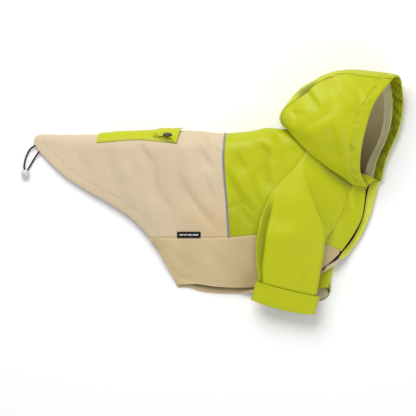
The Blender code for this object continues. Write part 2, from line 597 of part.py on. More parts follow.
def near_sleeve(look):
    """Cap and flattened tube in one: above the underarm only the upper layer is there."""
    table = {key: np.asarray(value, float) for key, value in NEAR_SLEEVE.items()}
    top_columns = 13
    rows = []
    for k in range(len(table["left"])):
        left, right = table["left"][k], table["right"][k]
        crest, lift, edge = table["crest"][k], table["crest_lift"][k], table["left_lift"][k]
        pleat = table["pleat"][k]
        tube_row = k <= UNDERARM_ROW
        split = max(crest, 0.42)
        share = np.concatenate([[0.0, 0.035, 0.09, 0.15], np.linspace(0.22, 1, 6) * split,
                                split + (1 - split) * np.array([0.35, 0.7, 1.0])])
        if not tube_row:
            share[:4] = np.array([0.0, 0.2, 0.45, 0.72]) * 0.22 * split
        ends = lift * 0.5 if tube_row else SHELL + 0.1
        nodes = (0.0, 0.5 * share[1], share[1], share[2], share[3], crest, 0.5 + 0.5 * crest, 1.0)
        lifts = (edge, 0.6 * edge + 0.4 * lift, 0.9 * lift if tube_row else edge + 0.25 * (lift - edge),
                 (lift if tube_row else edge + 0.5 * (lift - edge)) - pleat,
                 lift if tube_row else edge + 0.7 * (lift - edge), lift,
                 0.82 * lift if tube_row else 0.4 * lift + 0.6 * ends, ends)
        upper = np.interp(share, nodes, lifts)
        plan = left + (right - left) * share[:, None]
        bed = sleeve_bed(plan[:, 0], plan[:, 1])
        top = np.column_stack([plan, bed + upper + table["stand"][k]])
        low_share = np.array([0.975, 0.8, 0.5, 0.2, 0.025])
        low_plan = left + (right - left) * low_share[:, None]
        low_bed = sleeve_bed(low_plan[:, 0], low_plan[:, 1])
        rows.append(np.concatenate([top, np.column_stack([low_plan, low_bed + table["stand"][k]])]))
    grid = np.array(rows)
    outward = normals(grid, ring=True)
    outward[UNDERARM_ROW + 1:, :top_columns] = normals(grid[:, :top_columns])[UNDERARM_ROW + 1:]

    def kept(row, column):
        return column < top_columns - 1 or row < UNDERARM_ROW

    panel("sleeve_near", grid, look, ring=True, kept=kept, outward=outward)


def far_sleeve(look):
    """The same on the far side: above the underarm only the layer on the surface is there."""
    left = np.asarray(FAR_SLEEVE["left"], float)
    right = np.asarray(FAR_SLEEVE["right"], float)
    upper_share = np.array([0.0, 0.03, 0.1, 0.35, 0.65, 0.9, 0.97, 1.0])
    upper_rise = np.array([0.5, 0.85, 1.0, 1.0, 1.0, 1.0, 0.85, 0.5])
    lower_share = np.array([0.97, 0.85, 0.6, 0.4, 0.15, 0.03])
    lower_rise = np.array([0.12, 0.0, 0.0, 0.0, 0.0, 0.12])
    rows = []
    for k in range(len(left)):
        top = left[k] + (right[k] - left[k]) * upper_share[:, None]
        low = left[k] + (right[k] - left[k]) * lower_share[:, None]
        high = FAR_SLEEVE_THICKNESS if k <= UNDERARM_ROW else 0.0
        rows.append(np.concatenate([np.column_stack([top, upper_rise * high]),
                                    np.column_stack([low, lower_rise * high])]))
    grid = np.array(rows)
    upper = len(upper_share)
    outward = normals(grid, ring=True)
    outward[UNDERARM_ROW + 1:] = (0.0, 0.0, -1.0)

    def kept(row, column):
        return column >= upper - 1 or row < UNDERARM_ROW

    panel("sleeve_far", grid, look, ring=True, kept=kept, outward=outward)


def flat_ring(upper, lower, across, rise, height):
    """One row of a flattened tube: its upper line from left to right, then its lower line back."""
    top = through(upper, across)
    low = through(lower, across)[::-1][1:-1]
    top_z = height(top, 0.5 + 0.5 * rise)
    low_z = height(low, 0.5 - 0.5 * rise[1:-1])
    return np.concatenate([np.column_stack([top, top_z]), np.column_stack([low, low_z])])


def cuffs(green, mesh):
    """The turned-up cuff of the near sleeve, and the far one with its lining showing."""
    across = (0.0, 0.012, 0.05, 0.2, 0.4, 0.6, 0.8, 0.95, 0.988, 1.0)
    rise = np.array([0.0, 0.62, 1.0, 1.0, 1.0, 1.0, 1.0, 1.0, 0.62, 0.0])
    near = (
        ((46.0, -140.6), (128.2, -159.6)),
        ((48.4, -131.0), (130.6, -150.8)),
        ((50.4, -122.6), (132.2, -143.4)),
        ((51.6, -117.2), (133.6, -138.0)),
    )

    def near_level(plan, share):
        return sleeve_bed(plan[:, 0], plan[:, 1]) + LAP + share * CUFF_THICKNESS

    rows = [flat_ring(line, line, across, rise, near_level) for line in near]
    panel("cuff_near", np.array(rows), green, ring=True)
    rows = []
    lining = []
    for upper, lower, top in zip(FAR_CUFF["upper"], FAR_CUFF["lower"], FAR_CUFF["top"]):
        rows.append(flat_ring(upper, lower, across, rise, lambda plan, share: share * top))
        lining.append(through(lower, 15)[1:-1])
    panel("cuff_far", np.array(rows), green, ring=True)
    plan = loft(lining, 13, 4)
    plan[0] += (plan[1] - plan[0]) * 0.15
    flat = np.full(plan.shape[:2] + (1,), SHELL + SEAM / 2 + LINING)
    upright("cuff_far_lining", np.concatenate([plan, flat], axis=-1), mesh, LINING)


# ------------------------------------------------------------------ hood
def hood_grids():
    """The near side, the crown and the far side, which share the lines of their seams."""
    near = loft(HOOD_NEAR, HOOD_COLUMNS, 13)
    far = loft(HOOD_FAR, HOOD_COLUMNS, 10)
    far[..., 2] = np.maximum(far[..., 2], 0.0)
    outline = through(CROWN, HOOD_COLUMNS)
    upper, lower = near[-1], far[0]
    middle = (upper + lower) / 2
    half = (upper - lower) / 2
    widest = 50.0
    rows = []
    low, top = math.cos(math.radians(widest)), math.sin(math.radians(widest))
    for angle in np.radians(np.linspace(widest, -widest, 7)):
        out = (math.cos(angle) - low) / (1 - low)
        rows.append(middle + (outline - middle) * out + half * math.sin(angle) / top)
    return near, np.array(rows), far


def hood(green, mesh):
    near, crown, far = hood_grids()
    whole = np.concatenate([near, crown[1:], far[1:]])
    outward = normals(whole)
    wall_here = SHELL * np.interp(HOOD_COLUMNS, (0.0, 0.05, 0.12), (0.65, 0.75, 1.0))[None, :, None]
    first = 0
    for name, grid, low, high, nape_gap in (
        ("hood_side_near", near, False, True, 0.9),
        ("hood_centre", crown, True, True, 3.4),
        ("hood_side_far", far, True, False, 0.9),
    ):
        grid = grid.copy()
        drawn_in = SEAM * np.interp(HOOD_COLUMNS, (0.0, 0.06, 0.20), (nape_gap, 0.9, 0.5))[:, None]
        for edge, inner, cut in ((0, 1, low), (-1, -2, high)):
            if cut:
                way = grid[inner] - grid[edge]
                grid[edge] += way / np.linalg.norm(way, axis=-1, keepdims=True) * drawn_in
        panel(name, grid, green, wall_here, outward=outward[first:first + len(grid)])
        first += len(grid) - 1
    lined = slice(3, len(whole) - 1)
    outer = (whole - outward * (SHELL + LAP + 0.2))[lined]
    inner = outer - outward[lined] * LINING
    shape = outer.shape[:2]
    facing = grid_faces(*shape, kept=lambda r, c: c >= FACING_COLUMN)
    wall("hood_rim_facing", outer, inner, facing, green)
    for skin in (outer, inner):
        way = skin[:, FACING_COLUMN - 1] - skin[:, FACING_COLUMN]
        skin[:, FACING_COLUMN] += way / np.linalg.norm(way, axis=-1, keepdims=True) * SEAM
    wall("hood_lining", outer, inner, grid_faces(*shape, kept=lambda r, c: 3 <= c < FACING_COLUMN), mesh)
    panel("throat_band", loft(THROAT, 7, 3), green, LINING)


# ------------------------------------------------------------------ trim and cord
def leash_flap(green):
    columns = 9
    low_x = np.linspace(*FLAP["x"], columns)
    low_y = spline(np.linspace(*FLAP["x"], len(FLAP["y"])), FLAP["y"], low_x)
    start = fold_angle(low_x, low_y)
    top_x = np.linspace(*FLAP["top_x"], columns)
    rows = []
    for share in np.linspace(0, 1, 6):
        angle = start + (-12.0 - start) * share
        x = low_x + (top_x - low_x) * share
        rows.append(on_fold(x, angle, LAP + SHELL))
    panel("leash_flap", np.array(rows), green)


def snap_tab(green, metal):
    columns = 5
    share = np.linspace(0, 1, columns)
    low_left, low_right = np.array(TAB["low_left"]), np.array(TAB["low_right"])
    low = low_left + (low_right - low_left) * share[:, None]
    start = fold_angle(low[:, 0], low[:, 1])
    top_x = np.linspace(TAB["top_left"], TAB["top_right"], columns)
    rows = []
    for step in np.linspace(0, 1, 6):
        angle = start + (-4.0 - start) * step
        x = low[:, 0] + (top_x - low[:, 0]) * step
        stand = 1.6 * (1 - step) ** 2 * (1 - share)
        rows.append(on_fold(x, angle, 2 * (LAP + SHELL) + 0.3 + stand))
    panel("snap_tab", np.array(rows), green)
    x, angle = SNAP_PLACE
    centre = on_fold(np.array([x]), np.array([angle]), 2 * (LAP + SHELL) + 0.3 + 0.9)[0]
    axis = (0.0, math.cos(math.radians(angle)), math.sin(math.radians(angle)))
    radius = SNAP_DIAMETER / 2
    profile = ((0.0, 0.0), (0.93 * radius, 0.0), (radius, 0.5), (0.97 * radius, 1.2), (0.8 * radius, 1.9),
               (0.4 * radius, 2.3), (0.0, 2.4))
    turned("snap_cap", profile, centre, axis, metal)


def label(black):
    x0, x1, y0, y1 = LABEL_BOX
    x = np.linspace(x0, x1, 5)
    plan = np.stack(np.meshgrid(x, np.linspace(y0, y1, 3)), axis=-1)
    upright("label", on_near(plan, LAP + LINING), black, LINING)


def tail_cord(black, white):
    """Two strands of one cord, from the tip of the hem to the round stopper."""
    radius = STOPPER_DIAMETER / 2
    for name, points in (("tail_cord_upper", CORD_UPPER), ("tail_cord_lower", CORD_LOWER)):
        path = place(through(points, CORD_POINTS))
        curve = bpy.data.curves.new(name, "CURVE")
        curve.dimensions = "3D"
        curve.bevel_depth = CORD_DIAMETER / 2 * MM
        curve.bevel_resolution = 2
        curve.use_fill_caps = True
        curve.materials.append(black)
        strand = curve.splines.new("POLY")
        strand.points.add(len(path) - 1)
        for point, where in zip(strand.points, path):
            point.co = (*where, 1.0)
        made = bpy.data.objects.new(name, curve)
        bpy.context.scene.collection.objects.link(made)
    turn = np.radians(np.linspace(-90, 90, 11))
    profile = [(radius * math.cos(t), radius * math.sin(t)) for t in turn]
    turned("cord_stopper", profile, (*STOPPER_PLACE, radius), (0.0, 0.0, 1.0), white, sides=16)


def main():
    lime = finish("lime", (0.56, 0.60, 0.02), 0.5)
    sand = finish("sand", (0.68, 0.55, 0.38), 0.6)
    tan = finish("tan", (0.60, 0.46, 0.28), 0.6)
    mesh = finish("mesh", (0.22, 0.18, 0.10), 0.85)
    black = finish("black", (0.01, 0.01, 0.01), 0.7)
    silver = finish("silver", (0.30, 0.32, 0.40), 0.35)
    metal = finish("metal", (0.10, 0.10, 0.11), 0.35, 0.9)
    white = finish("white", (0.85, 0.84, 0.80), 0.25)
    back_panel(sand)
    shoulder_panel(lime)
    side_panels(tan)
    chest_panels(lime)
    closure(lime, sand, black)
    piping(silver)
    near_sleeve(lime)
    far_sleeve(lime)
    cuffs(lime, mesh)
    hood(lime, mesh)
    leash_flap(lime)
    snap_tab(lime, metal)
    label(black)
    tail_cord(black, white)


for old in list(bpy.data.objects):
    bpy.data.objects.remove(old)
main()
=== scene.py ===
# %% [markdown]
# # A dog's raincoat, lying flat on its side
# The coat is light coated cloth, so every cut piece is a thin sheet.  Each sheet starts as a
# grid primitive whose points are laid on a form: the form is worked out from the coat's own
# sizes, then folds, seam grooves and puckers are pressed into it, and Solidify gives it a wall.
# Sizes here are millimetres, X from tail to head, Y from belly to back and Z up.  The side that
# faces up is called near, and the side that lies on the surface is called far.

# %% The frame that the pieces are fitted to
import math

import bpy
import numpy as np
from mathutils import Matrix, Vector


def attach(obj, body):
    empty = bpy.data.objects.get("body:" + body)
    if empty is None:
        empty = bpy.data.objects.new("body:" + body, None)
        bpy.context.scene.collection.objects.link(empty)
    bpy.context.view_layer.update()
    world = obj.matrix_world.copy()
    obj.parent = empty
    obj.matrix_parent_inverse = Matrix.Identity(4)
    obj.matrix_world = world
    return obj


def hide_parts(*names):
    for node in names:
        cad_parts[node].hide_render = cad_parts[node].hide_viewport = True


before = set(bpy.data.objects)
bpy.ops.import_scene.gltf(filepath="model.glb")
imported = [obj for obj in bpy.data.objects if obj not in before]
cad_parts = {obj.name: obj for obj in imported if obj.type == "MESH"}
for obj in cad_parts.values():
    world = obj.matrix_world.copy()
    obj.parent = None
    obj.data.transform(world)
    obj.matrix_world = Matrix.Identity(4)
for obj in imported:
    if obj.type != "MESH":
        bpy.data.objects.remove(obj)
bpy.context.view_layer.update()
bpy.ops.object.select_all(action="DESELECT")
MM = 0.001
BOX_MIDDLE = np.array([3.2, -1.0, 0.0])  # the plan point that lies at the frame's origin


def metres(points):
    """Points in the coat's millimetres as places in the frame."""
    return (np.asarray(points, float) - BOX_MIDDLE) * MM


# %% [markdown]
# ## Camera
# The coat is looked at from straight above, as clothes laid out on a table are.  A camera
# without perspective keeps the outline true, and its width is that of the whole view.

# %% Camera
VIEW_WIDTH = 540.8
VIEW_CENTRE = (-10.4, -22.1, 2600.0)
bpy.ops.object.camera_add(location=metres(VIEW_CENTRE), rotation=(0.0, 0.0, 0.0))
camera = bpy.context.object
camera.name = "camera"
camera.data.type = "ORTHO"
camera.data.ortho_scale = VIEW_WIDTH * MM
camera.data.sensor_fit = "AUTO"
camera.data.clip_end = 10.0
bpy.context.scene.camera = camera
print("camera looks down on", VIEW_WIDTH, "mm of the surface")

# %% [markdown]
# ## Shader sums
# A finish is easier to read as a sum than as a picture of wires, so one small class wraps a
# socket and adds the Math nodes that an expression such as `1 - mask * 0.3` needs.

# %% Values that add up
class Value:
    """A number that varies over the surface; sums with it add their Math nodes."""

    def __init__(self, finish, socket):
        self.finish = finish
        self.socket = socket

    def sum(self, operation, first, second):
        return self.finish.node("ShaderNodeMath", {"operation": operation}, {0: first, 1: second})

    def __add__(self, other):
        return self.sum("ADD", self, other)

    def __sub__(self, other):
        return self.sum("SUBTRACT", self, other)

    def __rsub__(self, other):
        return self.sum("SUBTRACT", other, self)

    def __mul__(self, other):
        return self.sum("MULTIPLY", self, other)

    def __pow__(self, other):
        return self.sum("POWER", self, other)

    __radd__ = __add__
    __rmul__ = __mul__


class Finish:
    """A material whose nodes are added by node(), and whose shader is Principled."""

    def __init__(self, name, colour, roughness, **constants):
        self.made = bpy.data.materials.new(name)
        self.made.use_nodes = True
        self.tree = self.made.node_tree
        self.shader = self.tree.nodes["Principled BSDF"]
        self.set("Base Color", (*colour, 1.0))
        self.set("Roughness", roughness)
        for socket, value in constants.items():
            self.set(socket.replace("_", " ").title().replace("Ior", "IOR"), value)

    def set(self, socket, value):
        """A constant or a varying value on one of the shader's own sockets."""
        self.put(self.shader.inputs[socket], value)

    def put(self, socket, value):
        """A constant or a link on any socket."""
        if isinstance(value, Value):
            self.tree.links.new(value.socket, socket)
        else:
            socket.default_value = value

    def node(self, kind, settings=None, values=None, output=0):
        """Any node: its settings first, then the values or links of its sockets."""
        made = self.tree.nodes.new(kind)
        for key, setting in (settings or {}).items():
            setattr(made, key, setting)
        for socket, value in (values or {}).items():
            self.put(made.inputs[socket], value)
        return Value(self, made.outputs[output])

    def mix(self, factor, low, high):
        """A colour between two others."""
        return self.node("ShaderNodeMix", {"data_type": "RGBA"}, {0: factor, 6: low, 7: high}, output=2)

    def laid(self):
        """The cloth's own attribute: millimetres along and across, and how much painted shade it takes."""
        found = self.node("ShaderNodeAttribute", {"attribute_name": "cloth"}, output=1)
        parts = [self.node("ShaderNodeSeparateXYZ", None, {0: found}, output=k) for k in range(3)]
        return found, parts

    def noise(self, where, size, detail=2.0):
        """Soft noise whose blotches are about `size` of the coordinate's units wide."""
        values = {"Vector": where, "Scale": 1.0 / size, "Detail": detail}
        return self.node("ShaderNodeTexNoise", None, values)

    def wave(self, along, pitch, phase=0.0):
        """A wave between 0 and 1 that repeats every `pitch` of the value."""
        turned = along * (2 * math.pi / pitch) + phase
        return self.node("ShaderNodeMath", {"operation": "SINE"}, {0: turned}) * 0.5 + 0.5

    def bump(self, height, strength, distance, under=None):
        values = {"Strength": strength, "Distance": distance, "Height": height}
        if under is not None:
            values["Normal"] = under
        return self.node("ShaderNodeBump", None, values)


print("shader helpers are ready")

# %% [markdown]
# ## Coated cloth
# The shell is a tight plain weave with a soft water-repellent coat.  Close up, threads cross
# every half millimetre; from further off there is only a slight mottle.  Shade is also painted
# into its colour: paler where the cloth stands proud, darker in folds, grooves and shadows.  The
# weave follows the sheet, so it reads the sheet's own millimetres, which each piece carries as
# an attribute.

# %% Woven finishes
THREAD_PITCH = 0.55
MOTTLE = 0.05  # how uneven the tone is
BLOTCH = 26.0
SPECKLE = 1.6
SOFT_DENT = 7.0


def woven(name, colour, roughness, painted_shade, gloss=0.2):
    """Coated plain weave; its fourth argument is the colour of the shade painted into folds, grooves and
    shadows.
    """
    finish = Finish(name, colour, roughness, specular_ior_level=gloss)
    where, (along, across, shade_mask) = finish.laid()
    blotch = finish.noise(where, BLOTCH, 3.0)
    fine = finish.noise(where, SPECKLE)
    tone = blotch * (2 * MOTTLE) + fine * MOTTLE + (1 - 1.5 * MOTTLE)
    # painted shade: the colour goes over to the shade colour as far as the piece's attribute asks
    base = finish.mix(shade_mask, (*colour, 1.0), (*painted_shade, 1.0))
    toned = finish.node("ShaderNodeVectorMath", {"operation": "SCALE"}, {0: base, "Scale": tone})
    finish.set("Base Color", toned)
    finish.set("Roughness", blotch * 0.14 + (roughness - 0.07))
    over = finish.wave(along, THREAD_PITCH) * finish.wave(across, THREAD_PITCH)
    between = finish.wave(along, THREAD_PITCH, math.pi) * finish.wave(across, THREAD_PITCH, math.pi)
    threads = over + between
    dented = finish.bump(finish.noise(where, SOFT_DENT, 3.0), 0.35, 0.6 * MM)
    finish.set("Normal", finish.bump(threads, 0.18, 0.12 * MM, dented))
    return finish.made


LIME = (0.490, 0.524, 0.002)
SAND = (0.645, 0.522, 0.354)
TAN = (0.626, 0.493, 0.282)
lime = woven("lime_cloth", LIME, 0.47, (0.210, 0.244, 0.0), gloss=0.32)
sand = woven("sand_cloth", SAND, 0.55, (0.60, 0.43, 0.22))
tan = woven("tan_cloth", TAN, 0.55, (0.47, 0.35, 0.18))
# painted shadow: a copy of the tan cloth whose shade colour is near black, for the shadow under the near
# belly edge
tan_gap_shaded = woven("tan_cloth_gap_shaded", TAN, 0.55, (0.100, 0.068, 0.030))
# painted shade: a darker copy of the lime cloth, with near-black shade, for the facing that lies in shade
# inside the hood
lime_shaded = woven("lime_cloth_shaded", (0.44, 0.475, 0.0), 0.55, (0.110, 0.130, 0.0))
# painted light: lighter copies of the lime and sand cloth for the front bands; their shade colour paints
# shade on the bands' inner edge
lime_band_lit = woven("lime_cloth_band_lit", (0.66, 0.69, 0.05), 0.50, (0.40, 0.30, 0.15))
sand_band_lit = woven("sand_cloth_band_lit", (0.76, 0.62, 0.42), 0.55, (0.30, 0.22, 0.12))
print("woven finishes:", lime.name, sand.name, tan.name)

# %% [markdown]
# ## Mesh lining, tapes, cord and hard trim
# The lining is a taupe knit with rows of tiny holes between its ribs.  The tapes and the cord
# are black and matt, the piping is a smooth grey-blue reflective film, and the snap and the
# stopper are the only hard things on the coat.

# %% Lining and trim finishes
RIB_PITCH = 2.6
HOLE_PITCH = 1.5
LINING_BLOTCH = 18.0
TAPE_SPECKLE = 0.9


def knitted(name, colour, dark):
    """Knit with ribs along it and a row of small dark holes between every two ribs."""
    finish = Finish(name, colour, 0.9, sheen_weight=0.35)
    where, (along, across, shade_mask) = finish.laid()
    rib = finish.wave(along, RIB_PITCH) ** 1.5
    hole = (finish.wave(along, RIB_PITCH, math.pi) * finish.wave(across, HOLE_PITCH)) ** 2.0
    shade = finish.noise(where, LINING_BLOTCH) * 0.2 + hole * 0.45
    base = finish.mix(shade, (*colour, 1.0), (*dark, 1.0))
    # painted shade: the knit goes over to its dark colour as far as the piece's attribute asks
    finish.set("Base Color", finish.mix(shade_mask, base, (*dark, 1.0)))
    finish.set("Normal", finish.bump(rib - hole * 0.8, 0.45, 0.3 * MM))
    return finish.made


def taped(name, colour, pitch):
    """Woven tape: ribs across its length."""
    finish = Finish(name, colour, 0.8, specular_ior_level=0.25)
    where, (along, across, _) = finish.laid()
    rib = finish.wave(along, pitch) * finish.wave(across, pitch)
    speckle = finish.noise(where, TAPE_SPECKLE)
    worn = [c * 1.9 + 0.004 for c in colour]
    finish.set("Base Color", finish.mix(speckle, (*colour, 1.0), (*worn, 1.0)))
    finish.set("Normal", finish.bump(rib + speckle * 0.5, 0.5, 0.3 * MM))
    return finish.made


def plain(name, colour, roughness, grain, **constants):
    """A smooth finish with a little grain and uneven gloss, on Object coordinates."""
    finish = Finish(name, colour, roughness, **constants)
    where = finish.node("ShaderNodeTexCoord", output=3)
    rough = finish.noise(where, grain * MM, 3.0)
    cloudy = finish.noise(where, 6 * grain * MM)
    finish.set("Roughness", rough * 0.16 + (roughness - 0.08))
    duller = [c * 0.86 for c in colour]
    finish.set("Base Color", finish.mix(cloudy, (*colour, 1.0), (*duller, 1.0)))
    finish.set("Normal", finish.bump(rough, 0.25, 0.1 * MM))
    return finish.made


lining_mesh = knitted("mesh_lining", (0.930, 0.840, 0.460), (0.165, 0.120, 0.032))
cuff_mesh = knitted("mesh_cuff_lining", (0.540, 0.460, 0.310), (0.350, 0.290, 0.185))
hook = taped("hook_tape_black", (0.010, 0.010, 0.011), 1.4)
woven_label = taped("label_black", (0.004, 0.004, 0.005), 0.8)
label_thread = plain("label_thread", (0.72, 0.72, 0.70), 0.7, 0.5)
braid = taped("cord_black", (0.006, 0.006, 0.006), 1.1)
film = plain("reflective_film", (0.235, 0.245, 0.290), 0.34, 0.7, specular_ior_level=0.7)
gunmetal = plain("gunmetal", (0.045, 0.045, 0.050), 0.36, 0.9, metallic=0.85)
pearl = plain("pearl_plastic", (0.64, 0.64, 0.61), 0.22, 1.2, coat_weight=0.5,
              subsurface_weight=0.15, subsurface_scale=0.004)
THREADS = {
    "lime": plain("lime_thread", (0.52, 0.55, 0.08), 0.55, 0.4, sheen_weight=0.3),
    "sand": plain("sand_thread", (0.62, 0.50, 0.34), 0.60, 0.4, sheen_weight=0.3),
    "tan": plain("tan_thread", (0.52, 0.40, 0.24), 0.60, 0.4, sheen_weight=0.3),
    "mesh": plain("cream_thread", (0.90, 0.87, 0.74), 0.65, 0.4, sheen_weight=0.3),
}
print("trim finishes:", len(bpy.data.materials), "materials in all")

# %% [markdown]
# ## The coat's measures
# A flat coat is a double layer: two sides joined over a rounded fold along the back.  A few
# short tables give its outline, the thickness that the folded cloth takes up, and the height of
# its lower edge; smooth curves run through them.

# %% Curves through a few values
FINE_STEPS = 600  # points on a curve when its length is measured
PACE_REACH = 0.07  # share of a length over which the spacing tightens towards an end


def spline(knots, values, at):
    """Smooth curve through values at rising knots, with tangents from its neighbours."""
    knots = np.asarray(knots, float)
    values = np.asarray(values, float)
    flat = values.ndim == 1
    if flat:
        values = values[:, None]
    at = np.clip(np.asarray(at, float), knots[0], knots[-1])
    step = np.diff(knots)
    slope = np.diff(values, axis=0) / step[:, None]
    tangent = np.empty_like(values)
    tangent[0], tangent[-1] = slope[0], slope[-1]
    share = (step[:-1] / (step[:-1] + step[1:]))[:, None]
    tangent[1:-1] = slope[:-1] * (1 - share) + slope[1:] * share
    i = np.clip(np.searchsorted(knots, at, side="right") - 1, 0, len(step) - 1)
    t = ((at - knots[i]) / step[i])[..., None]
    h = step[i][..., None]
    found = (
        values[i] * (1 + 2 * t) * (1 - t) ** 2
        + tangent[i] * h * t * (1 - t) ** 2
        + values[i + 1] * t**2 * (3 - 2 * t)
        + tangent[i + 1] * h * t**2 * (t - 1)
    )
    return found[..., 0] if flat else found


def through(points, shares):
    """Points at these shares of the length of the smooth curve through the given ones."""
    points = np.asarray(points, float)
    shares = np.linspace(0, 1, shares) if isinstance(shares, int) else np.asarray(shares, float)
    knots = np.concatenate([[0.0], np.cumsum(np.linalg.norm(np.diff(points, axis=0), axis=1))])
    fine = spline(knots, points, np.linspace(0, knots[-1], FINE_STEPS))
    along = np.concatenate([[0.0], np.cumsum(np.linalg.norm(np.diff(fine, axis=0), axis=1))])
    runs = [np.interp(shares * along[-1], along, fine[:, k]) for k in range(points.shape[1])]
    return np.stack(runs, axis=1)


def loft(lines, columns, rows):
    """A grid that runs smoothly through the lines, each a curve given by a few points."""
    curves = np.array([through(line, columns) for line in lines])
    wanted = np.linspace(0, len(lines) - 1, rows) if isinstance(rows, int) else np.asarray(rows)
    flat = spline(np.arange(len(lines)), curves.reshape(len(lines), -1), wanted)
    return flat.reshape(len(wanted), curves.shape[1], -1)


def patch(low, high, left, right):
    """A plan grid inside four border lines that share their corners (a Coons patch)."""
    v = np.linspace(0, 1, len(left))[:, None, None]
    u = np.linspace(0, 1, len(low))[None, :, None]
    corners = low[0] * (1 - u) * (1 - v) + low[-1] * u * (1 - v) + high[0] * (1 - u) * v + high[-1] * u * v
    return low[None] * (1 - v) + high[None] * v + left[:, None] * (1 - u) + right[:, None] * u - corners


def paced(count, start, end):
    """Shares from 0 to 1 that lie closer together at either end: 0 is even, 0.9 very close."""
    even = np.linspace(0, 1, count)
    at_start, at_end = (np.exp(-((away / PACE_REACH) ** 2)) for away in (even, 1 - even))
    step = 1.0 - start * at_start - end * at_end
    walked = np.concatenate([[0.0], np.cumsum((step[1:] + step[:-1]) / 2)])
    return walked / walked[-1]


def smoothstep(value, low, high):
    """0 below the low value, 1 above the high one, with a soft change between them."""
    t = np.clip((value - low) / (high - low), 0, 1)
    return t * t * (3 - 2 * t)


def rounded(distance, radius):
    """0 at an edge, 1 a radius further in, as a quarter circle."""
    t = np.clip(distance / radius, 0, 1)
    return np.sqrt(np.clip(1 - (1 - t) ** 2, 0, 1))


print("curves are ready, measured on", FINE_STEPS, "points each")

# %% The coat's outline and heights
BACK = {
    "x": (-236.5, -235, -231, -224, -200, -160, -110, -60, -20, 12, 40, 70, 92, 215),
    "y": (68, 70.4, 72.8, 73.8, 73, 73.6, 76.5, 78.4, 78, 75, 77.5, 82, 80.4, 80),
    "thick": (8, 9, 11, 14, 22, 34, 44, 49, 49, 47, 48, 50, 50, 44),
    "round": (3, 4, 5.4, 7.2, 11, 16, 19, 20, 20, 19, 19, 20, 20, 20),
}
HEM = ((-236.5, 61), (-235, 58.4), (-230, 51.5), (-220, 41), (-200, 22), (-170, 2),
       (-140, -15), (-110, -35.5), (-92, -53.5), (-78, -72), (-64, -97), (-50, -122))
NEAR_EDGE = ((-50, -122), (-28, -120.6), (0, -124.4), (50, -125), (95, -118), (137, -101),
             (163.4, -78), (178.8, -56), (189, -36), (193.7, -9.7), (195.7, 3.4), (204.5, 13.7))
FAR_EDGE = ((-50, -125.2), (-36, -125.6), (-21.5, -130), (8, -133.2), (40, -132.6), (80, -128),
            (135.5, -108.7), (153, -97), (171.7, -82), (187, -60.7), (200.8, -29.8), (208, -3.7),
            (212.6, 12.6))
EDGE_HEIGHT = {
    "x": (-236.5, -225, -180, -100, -60, -48, -25, 20, 60, 140, 161, 178, 192, 204),
    "z": (4.6, 7, 10, 11.5, 9, 5.2, 9, 10.5, 15.5, 17, 15.6, 12, 10.8, 12.4),
}
BELLY_SEAM = {
    "x": (-90, -20, 16, 53, 95, 142, 153, 163),
    "y": (-61, -61.2, -60.2, -57, -59, -67.4, -73.4, -78.4),
}
PIPED_SEAM = {"y": (-62.0, -20.0, 15.0, 45.0, 80.0), "x": (16.6, 14.0, 11.0, 9.6, 12.6)}
LAP = 0.8  # air between two layers that lie on each other
PIPING_X = 12.0
SEAM_SWING = 2.4
FOLD_POWER = 2.0
FOLD_REACH = 1.25  # how much further in than its table the rounding of the back begins
BELLY_RISE = 150.0
FAR_SLEEVE_ROOM = 9.2
HOOD_EDGE = ((89.4, 83.2, 46), (99.7, 71.3, 50), (121, 50.5, 50.4), (146, 31, 43.6), (165, 18, 36),
             (181.5, 7.2, 27.5), (194.6, 6.8, 24.2))
CUFF_TOP = ((51.6, -117.2), (67.6, -122.5), (95.4, -129.8), (114, -134), (124, -136.2), (133.8, -138))
HEM_POINTS = 160
EDGE_LINE = np.concatenate([through(HEM, HEM_POINTS), through(NEAR_EDGE, 260)])
BEYOND_SEAM = EDGE_LINE[:, 1] < spline(BELLY_SEAM["x"], BELLY_SEAM["y"], EDGE_LINE[:, 0])
CORNER_X = EDGE_LINE[np.argmax(BEYOND_SEAM), 0]


def back_y(x):
    return spline(BACK["x"], BACK["y"], x)


def back_round(x):
    return spline(BACK["x"], BACK["round"], x) * FOLD_REACH


def hem_y(x):
    return np.interp(x, EDGE_LINE[:, 0], EDGE_LINE[:, 1])


def belly_seam_y(x):
    return spline(BELLY_SEAM["x"], BELLY_SEAM["y"], x)


def piped_seam_x(y):
    return spline(PIPED_SEAM["y"], PIPED_SEAM["x"], y)


print("rear hem meets the belly seam at x", round(float(CORNER_X), 1))

# %% [markdown]
# ## Folds, grooves and puckers
# Cloth that lies loose never lies smooth.  Broad folds are soft troughs from one point to
# another, each with its own length, width, depth and bow, so no two look alike.  Between them
# the cloth wanders a little.  Along a line of stitches it sinks, and gathers in small puckers.

